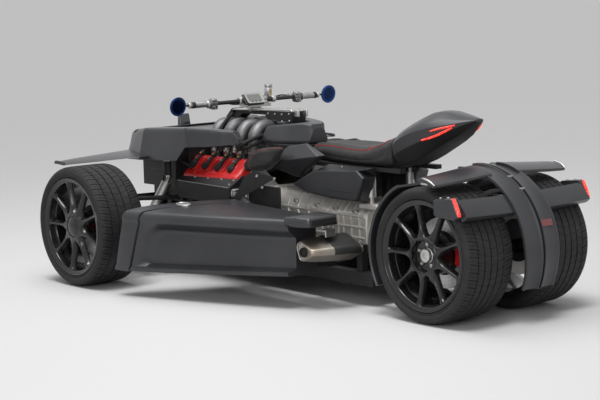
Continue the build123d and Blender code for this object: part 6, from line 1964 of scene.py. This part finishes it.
def makeDash(name):
    lean = math.radians(42)
    centre = Vector((-0.034, 0.04, stem["bar"] + 0.016))
    along, across, face = Vector((math.cos(lean), 0, math.sin(lean))), Vector((0, 1, 0)), Vector((-math.sin(lean), 0, math.cos(lean)))

    def plate(label, size, soft, layers, finish):
        outline = roundCorners([(-size[0], -size[1]), (size[0], -size[1]), (size[0], size[1]), (-size[0], size[1])], soft, 6)
        rings = []
        for height, grow in layers:
            rings.append([
                centre + along * (p.x + math.copysign(grow, p.x)) + across * (p.y + math.copysign(grow, p.y)) + face * height
                for p in outline
            ])
        return skinned(label, rings, finish, 40)
    parts = [plate(
        name + "Case", (0.032, 0.055), 0.014, ((-0.0085, -0.009), (-0.008, -0.005), (-0.003, 0.0), (0.004, 0.0), (0.0062, -0.0015)),
        "mouldedBlack"
    )]
    parts.append(plate(
        name + "Bezel", (0.0305, 0.0535), 0.013, ((0.005, 0.0), (0.0075, -0.0004), (0.0088, -0.003), (0.0084, -0.0068)), "polishedAluminium"
    ))
    parts.append(plate(name + "Panel", (0.0225, 0.044), 0.006, ((0.007, 0.0), (0.009, 0.0), (0.0092, -0.001)), "lcdScreen"))
    for y in (-0.026, 0.0, 0.026):
        spot = centre - along * 0.0263 + across * y + face * 0.0086
        parts.append(block(
            name + "Key", tuple(spot - Vector((0.0025, 0.006, 0.0012))), tuple(spot + Vector((0.0025, 0.006, 0.0016))), "mouldedBlack",
            0.001
        ))
    parts.append(block(name + "Stay", (-0.03, 0.044, 0.042), (-0.012, 0.066, 0.056), "mouldedBlack", 0.003))
    parts.append(block(name + "Hold", (-0.022, 0.098, 0.038), (0.022, 0.122, 0.076), "polishedAluminium", 0.007, 3))
    lead = curvePoints([(-0.03, 0.028, 0.056), (-0.01, 0.022, 0.034), (0.02, 0.014, 0.03), (0.05, 0.01, 0.0245)], 6)
    parts.append(plainTube(lead, 0.004, 8, "hoseRubber", name + "Lead"))
    return toStem(joined(name, parts))


def makeBridge(name):
    # bright top plate on a dark web, bolted side block over the tank, boss for the stem
    parts = []
    top = [
        (-0.782, 0.933), (-0.772, 0.942), (-0.56, 0.934), (-0.33, 0.927), (-0.25, 0.925), (-0.24, 0.92), (-0.25, 0.917), (-0.33, 0.9185),
        (-0.56, 0.925), (-0.782, 0.926)
    ]
    parts.append(prism(name + "Top", [(frontAxleX + x, z) for x, z in top], -0.0475, 0.0475, "polishedAluminium", "Y", 0.003))
    web = [(-0.7, 0.926), (-0.33, 0.9185), (-0.255, 0.9165), (-0.12, 0.8005), (-0.165, 0.8005), (-0.33, 0.9), (-0.56, 0.902), (-0.69, 0.904)]
    parts.append(prism(name + "Web", [(frontAxleX + x, z) for x, z in web], -0.034, 0.034, "frameBlack", "Y", 0.003))
    foot = roundCorners([(-0.105, 0.8005), (-0.165, 0.8005), (-0.176, 0.808), (-0.262, 0.922), (-0.25, 0.9305), (-0.238, 0.924)], 0.006, 3)
    parts.append(prism(name + "Leg", [(frontAxleX + p.x, p.y) for p in foot], -0.045, 0.045, "frameBlack", "Y", 0.003))
    side = roundCorners([(-0.79, 0.93), (-0.56, 0.924), (-0.552, 0.888), (-0.69, 0.87), (-0.78, 0.864)], 0.006, 3)
    parts.append(prism(name + "Side", [(frontAxleX + p.x, p.y) for p in side], -0.05, 0.05, "frameBlack", "Y", 0.003))
    parts.append(block(name + "Beam", (frontAxleX - 0.76, -0.085, 0.8585), (frontAxleX - 0.692, 0.085, 0.876), "satinPaint", 0.006, 3))
    # clevis at the rear end
    for y in (0.03, -0.03):
        parts.append(block(
            name + "Ear", (frontAxleX - 0.822, y - 0.007, 0.902), (frontAxleX - 0.775, y + 0.007, 0.94), "polishedAluminium", 0.004, 3
        ))
    screws = [
        ((frontAxleX + x, 0.0498, z), (0, 1, 0), (1, 0, 0)) for x,
        z in ((-0.58, 0.912), (-0.64, 0.912), (-0.7, 0.912), (-0.762, 0.916), (-0.764, 0.878))
    ]
    screws += [((p[0], -p[1], p[2]), (0, -1, 0), a) for p, _, a in screws]
    screws += [((frontAxleX - 0.726, y, 0.8758), (0, 0, 1), (1, 0, 0)) for y in (0.072, -0.072)]
    screws += [((frontAxleX - 0.74 + 0.09 * n, y, 0.9402 - 0.0033 * n), (0.035, 0, 1), (1, 0, 0)) for n in range(5) for y in (0.036, -0.036)]
    parts.append(scatter(name + "Screws", screws, sources["bolt"], 0.0055, "zincBolt"))
    boss = discTurned(
        name + "Boss", ((-0.012, 0.019), (-0.012, 0.0345), (-0.01, 0.036), (0.01, 0.036), (0.012, 0.0345), (0.012, 0.019)), (0, 0, 0),
        "polishedAluminium", "Z"
    )
    parts.append(toStem(boss))
    return joined(name, parts)


def makeSteering():
    settle(makeHandlebar("handlebar"), "steering", "frame_black", "handlebar")
    pair(makeGrip, "grips", "steering", "grip_rubber", ("grips",))
    settle(makeControls("controls"), "steering", "frame_black", "controls")
    pair(makeLever, "levers", "steering", "frame_black", ("levers",))
    pair(makeMirror, "mirrors", "steering", "mirror_glass", ("mirrors",))
    settle(makeDash("dash"), "steering", "coil_plastic", "dash")
    settle(makeBridge("steeringBridge"), "chassis", "frame_black", "steering_bridge")
    print("steering made")


makeSteering()




# dark liners, partly painted shade closing gaps, hoses, leads and small fittings
def makeLinersAndShadePlates(name):
    # dark plates set where gaps would show through: partly inner panels, partly painted shade
    parts = [
        block(name + "Cowl", (frontAxleX - 0.19, 0.312, 0.575), (frontAxleX + 0.2, 0.32, 0.79), "frameBlack", 0.003),
        block(name + "Engine", (rearAxleX + 1.15, 0.322, 0.3), (rearAxleX + 1.42, 0.33, 0.56), "frameBlack", 0.003),
    ]
    parts.append(block(name + "Duct", (frontAxleX + 0.09, 0.296, 0.48), (frontAxleX + 0.29, 0.304, 0.65), "frameBlack", 0.003))
    # valley cover between the banks and the bulkhead in front of the engine, dark sheets closing gaps: partly covers,
    # partly painted shade
    parts.append(block(name + "Valley", (0.425, -0.02, 0.6), (0.885, 0.15, 0.7), "frameBlack", 0.01))
    parts.append(block(name + "Bulkhead", (0.916, -0.02, 0.47), (0.926, 0.32, 0.77), "frameBlack", 0.003))
    # remote canister on top of the front shock
    for low, high, radius, finish in ((0.56, 0.64, 0.034, "mouldedBlack"), (0.64, 0.652, 0.03, "polishedAluminium")):
        parts.append(plainTube([(rearAxleX + 2.121, 0.352, low), (rearAxleX + 2.121, 0.352, high)], radius, 28, finish, name + "Can"))
    # bright bracket over the silencer
    parts.append(block(name + "Bracket", (-0.47, 0.44, 0.402), (-0.425, 0.505, 0.41), "polishedAluminium", 0.002))
    parts.append(block(name + "Ear", (-0.47, 0.44, 0.372), (-0.462, 0.505, 0.41), "polishedAluminium", 0.002))
    return joined(name, parts)


hoses = (
    # finish, radius, points from the left side
    ("hoseRubber", 0.011, ((0.52, 0.3, 0.735), (0.485, 0.28, 0.758), (0.456, 0.24, 0.783), (0.446, 0.19, 0.8), (0.47, 0.14, 0.8))),
    ("hoseRubber", 0.008, ((0.54, 0.29, 0.718), (0.5, 0.262, 0.734), (0.462, 0.222, 0.752), (0.448, 0.17, 0.77))),
    ("hoseRubber", 0.006, ((0.86, 0.33, 0.6), (0.885, 0.345, 0.622), (0.93, 0.35, 0.64), (0.985, 0.345, 0.64))),
)


def makeHoses(name):
    parts = []
    for finish, radius, points in hoses:
        parts.append(plainTube(curvePoints(points, 10), radius, 12, finish, name + "Run"))
        parts.append(plainTube([points[0], tuple(Vector(points[0]).lerp(Vector(points[1]), 0.3))], radius * 1.3, 12, "zincBolt", name + "Clip"))
    # corrugated conduit over the first runner
    line = curvePoints([(0.78, 0.2, 0.8), (0.794, 0.18, 0.824), (0.804, 0.15, 0.849), (0.806, 0.12, 0.876), (0.8, 0.085, 0.905)], 22)
    parts.append(plainTube(line, [0.0105 if n % 4 < 2 else 0.0085 for n in range(len(line))], 14, "hoseRubber", name + "Conduit"))
    return joined(name, parts)


def makeFittings():
    pair(makeLinersAndShadePlates, "liners", "chassis", "frame_black")
    settle(makeHoses("hoses"), "chassis", "grip_rubber")
    print("fittings made")


makeFittings()


# studio: pale floor out to the horizon, soft sun and soft boxes
def addStudio():
    world = bpy.data.worlds.new("studio")
    bpy.context.scene.world = world
    world.use_nodes = True
    nodes, link = world.node_tree.nodes, world.node_tree.links.new
    plain = nodes["Background"]
    plain.inputs["Color"].default_value = (1.0, 1.0, 1.0, 1)
    plain.inputs["Strength"].default_value = 0.3
    # what the camera, metal and glass see
    pale = nodes.new("ShaderNodeBackground")
    pale.inputs["Color"].default_value = (0.74, 0.74, 0.75, 1)
    ray = nodes.new("ShaderNodeLightPath")
    seen = ray.outputs["Is Camera Ray"]
    for label in ("Is Glossy Ray", "Is Transmission Ray"):
        most = nodes.new("ShaderNodeMath")
        most.operation = "MAXIMUM"
        link(seen, most.inputs[0])
        link(ray.outputs[label], most.inputs[1])
        seen = most.outputs[0]
    both = nodes.new("ShaderNodeMixShader")
    link(seen, both.inputs[0])
    link(plain.outputs[0], both.inputs[1])
    link(pale.outputs[0], both.inputs[2])
    link(both.outputs[0], nodes["World Output"].inputs["Surface"])
    f = Finish("paleFloor", Specular_IOR_Level=0.1)
    p = f.place()
    grain = f.noise(p, 40, 5)
    colour = f.mix(grain, (0.7, 0.7, 0.7, 1), (0.74, 0.74, 0.74, 1))
    material = f.feed(Base_Color=colour, Roughness=0.8 + grain * 0.1)
    floor = newPiece("floor", [(-400, -400, -0.001), (400, -400, -0.001), (400, 400, -0.001), (-400, 400, -0.001)], [(0, 1, 2, 3)])
    floor.data.materials.append(material)
    for name, kind, place, target, size, power in (
        ("sun", "SUN", (-1.0, 1.5, 6.0), (0, 0, 0), (0.35, 0), 1.35),
        ("topBox", "AREA", (0.3, 0.8, 4.2), (0.1, 0, 0.3), (4.5, 2.2), 95),
        ("sideBox", "AREA", (-3.5, 4.5, 2.2), (0.1, 0, 0.4), (3.0, 1.6), 58),
    ):
        data = bpy.data.lights.new(name, kind)
        data.energy = power
        if kind == "SUN":
            data.angle = size[0]
        else:
            data.shape = "RECTANGLE"
            data.size, data.size_y = size
        obj = linked(name, data)
        obj.location = place
        obj.rotation_euler = (Vector(target) - Vector(place)).to_track_quat("-Z", "Y").to_euler()


addCamera()
addStudio()
for source in sources.values():
    bpy.data.objects.remove(source)
bpy.context.scene.view_settings.view_transform = "Standard"
print("scene ready")
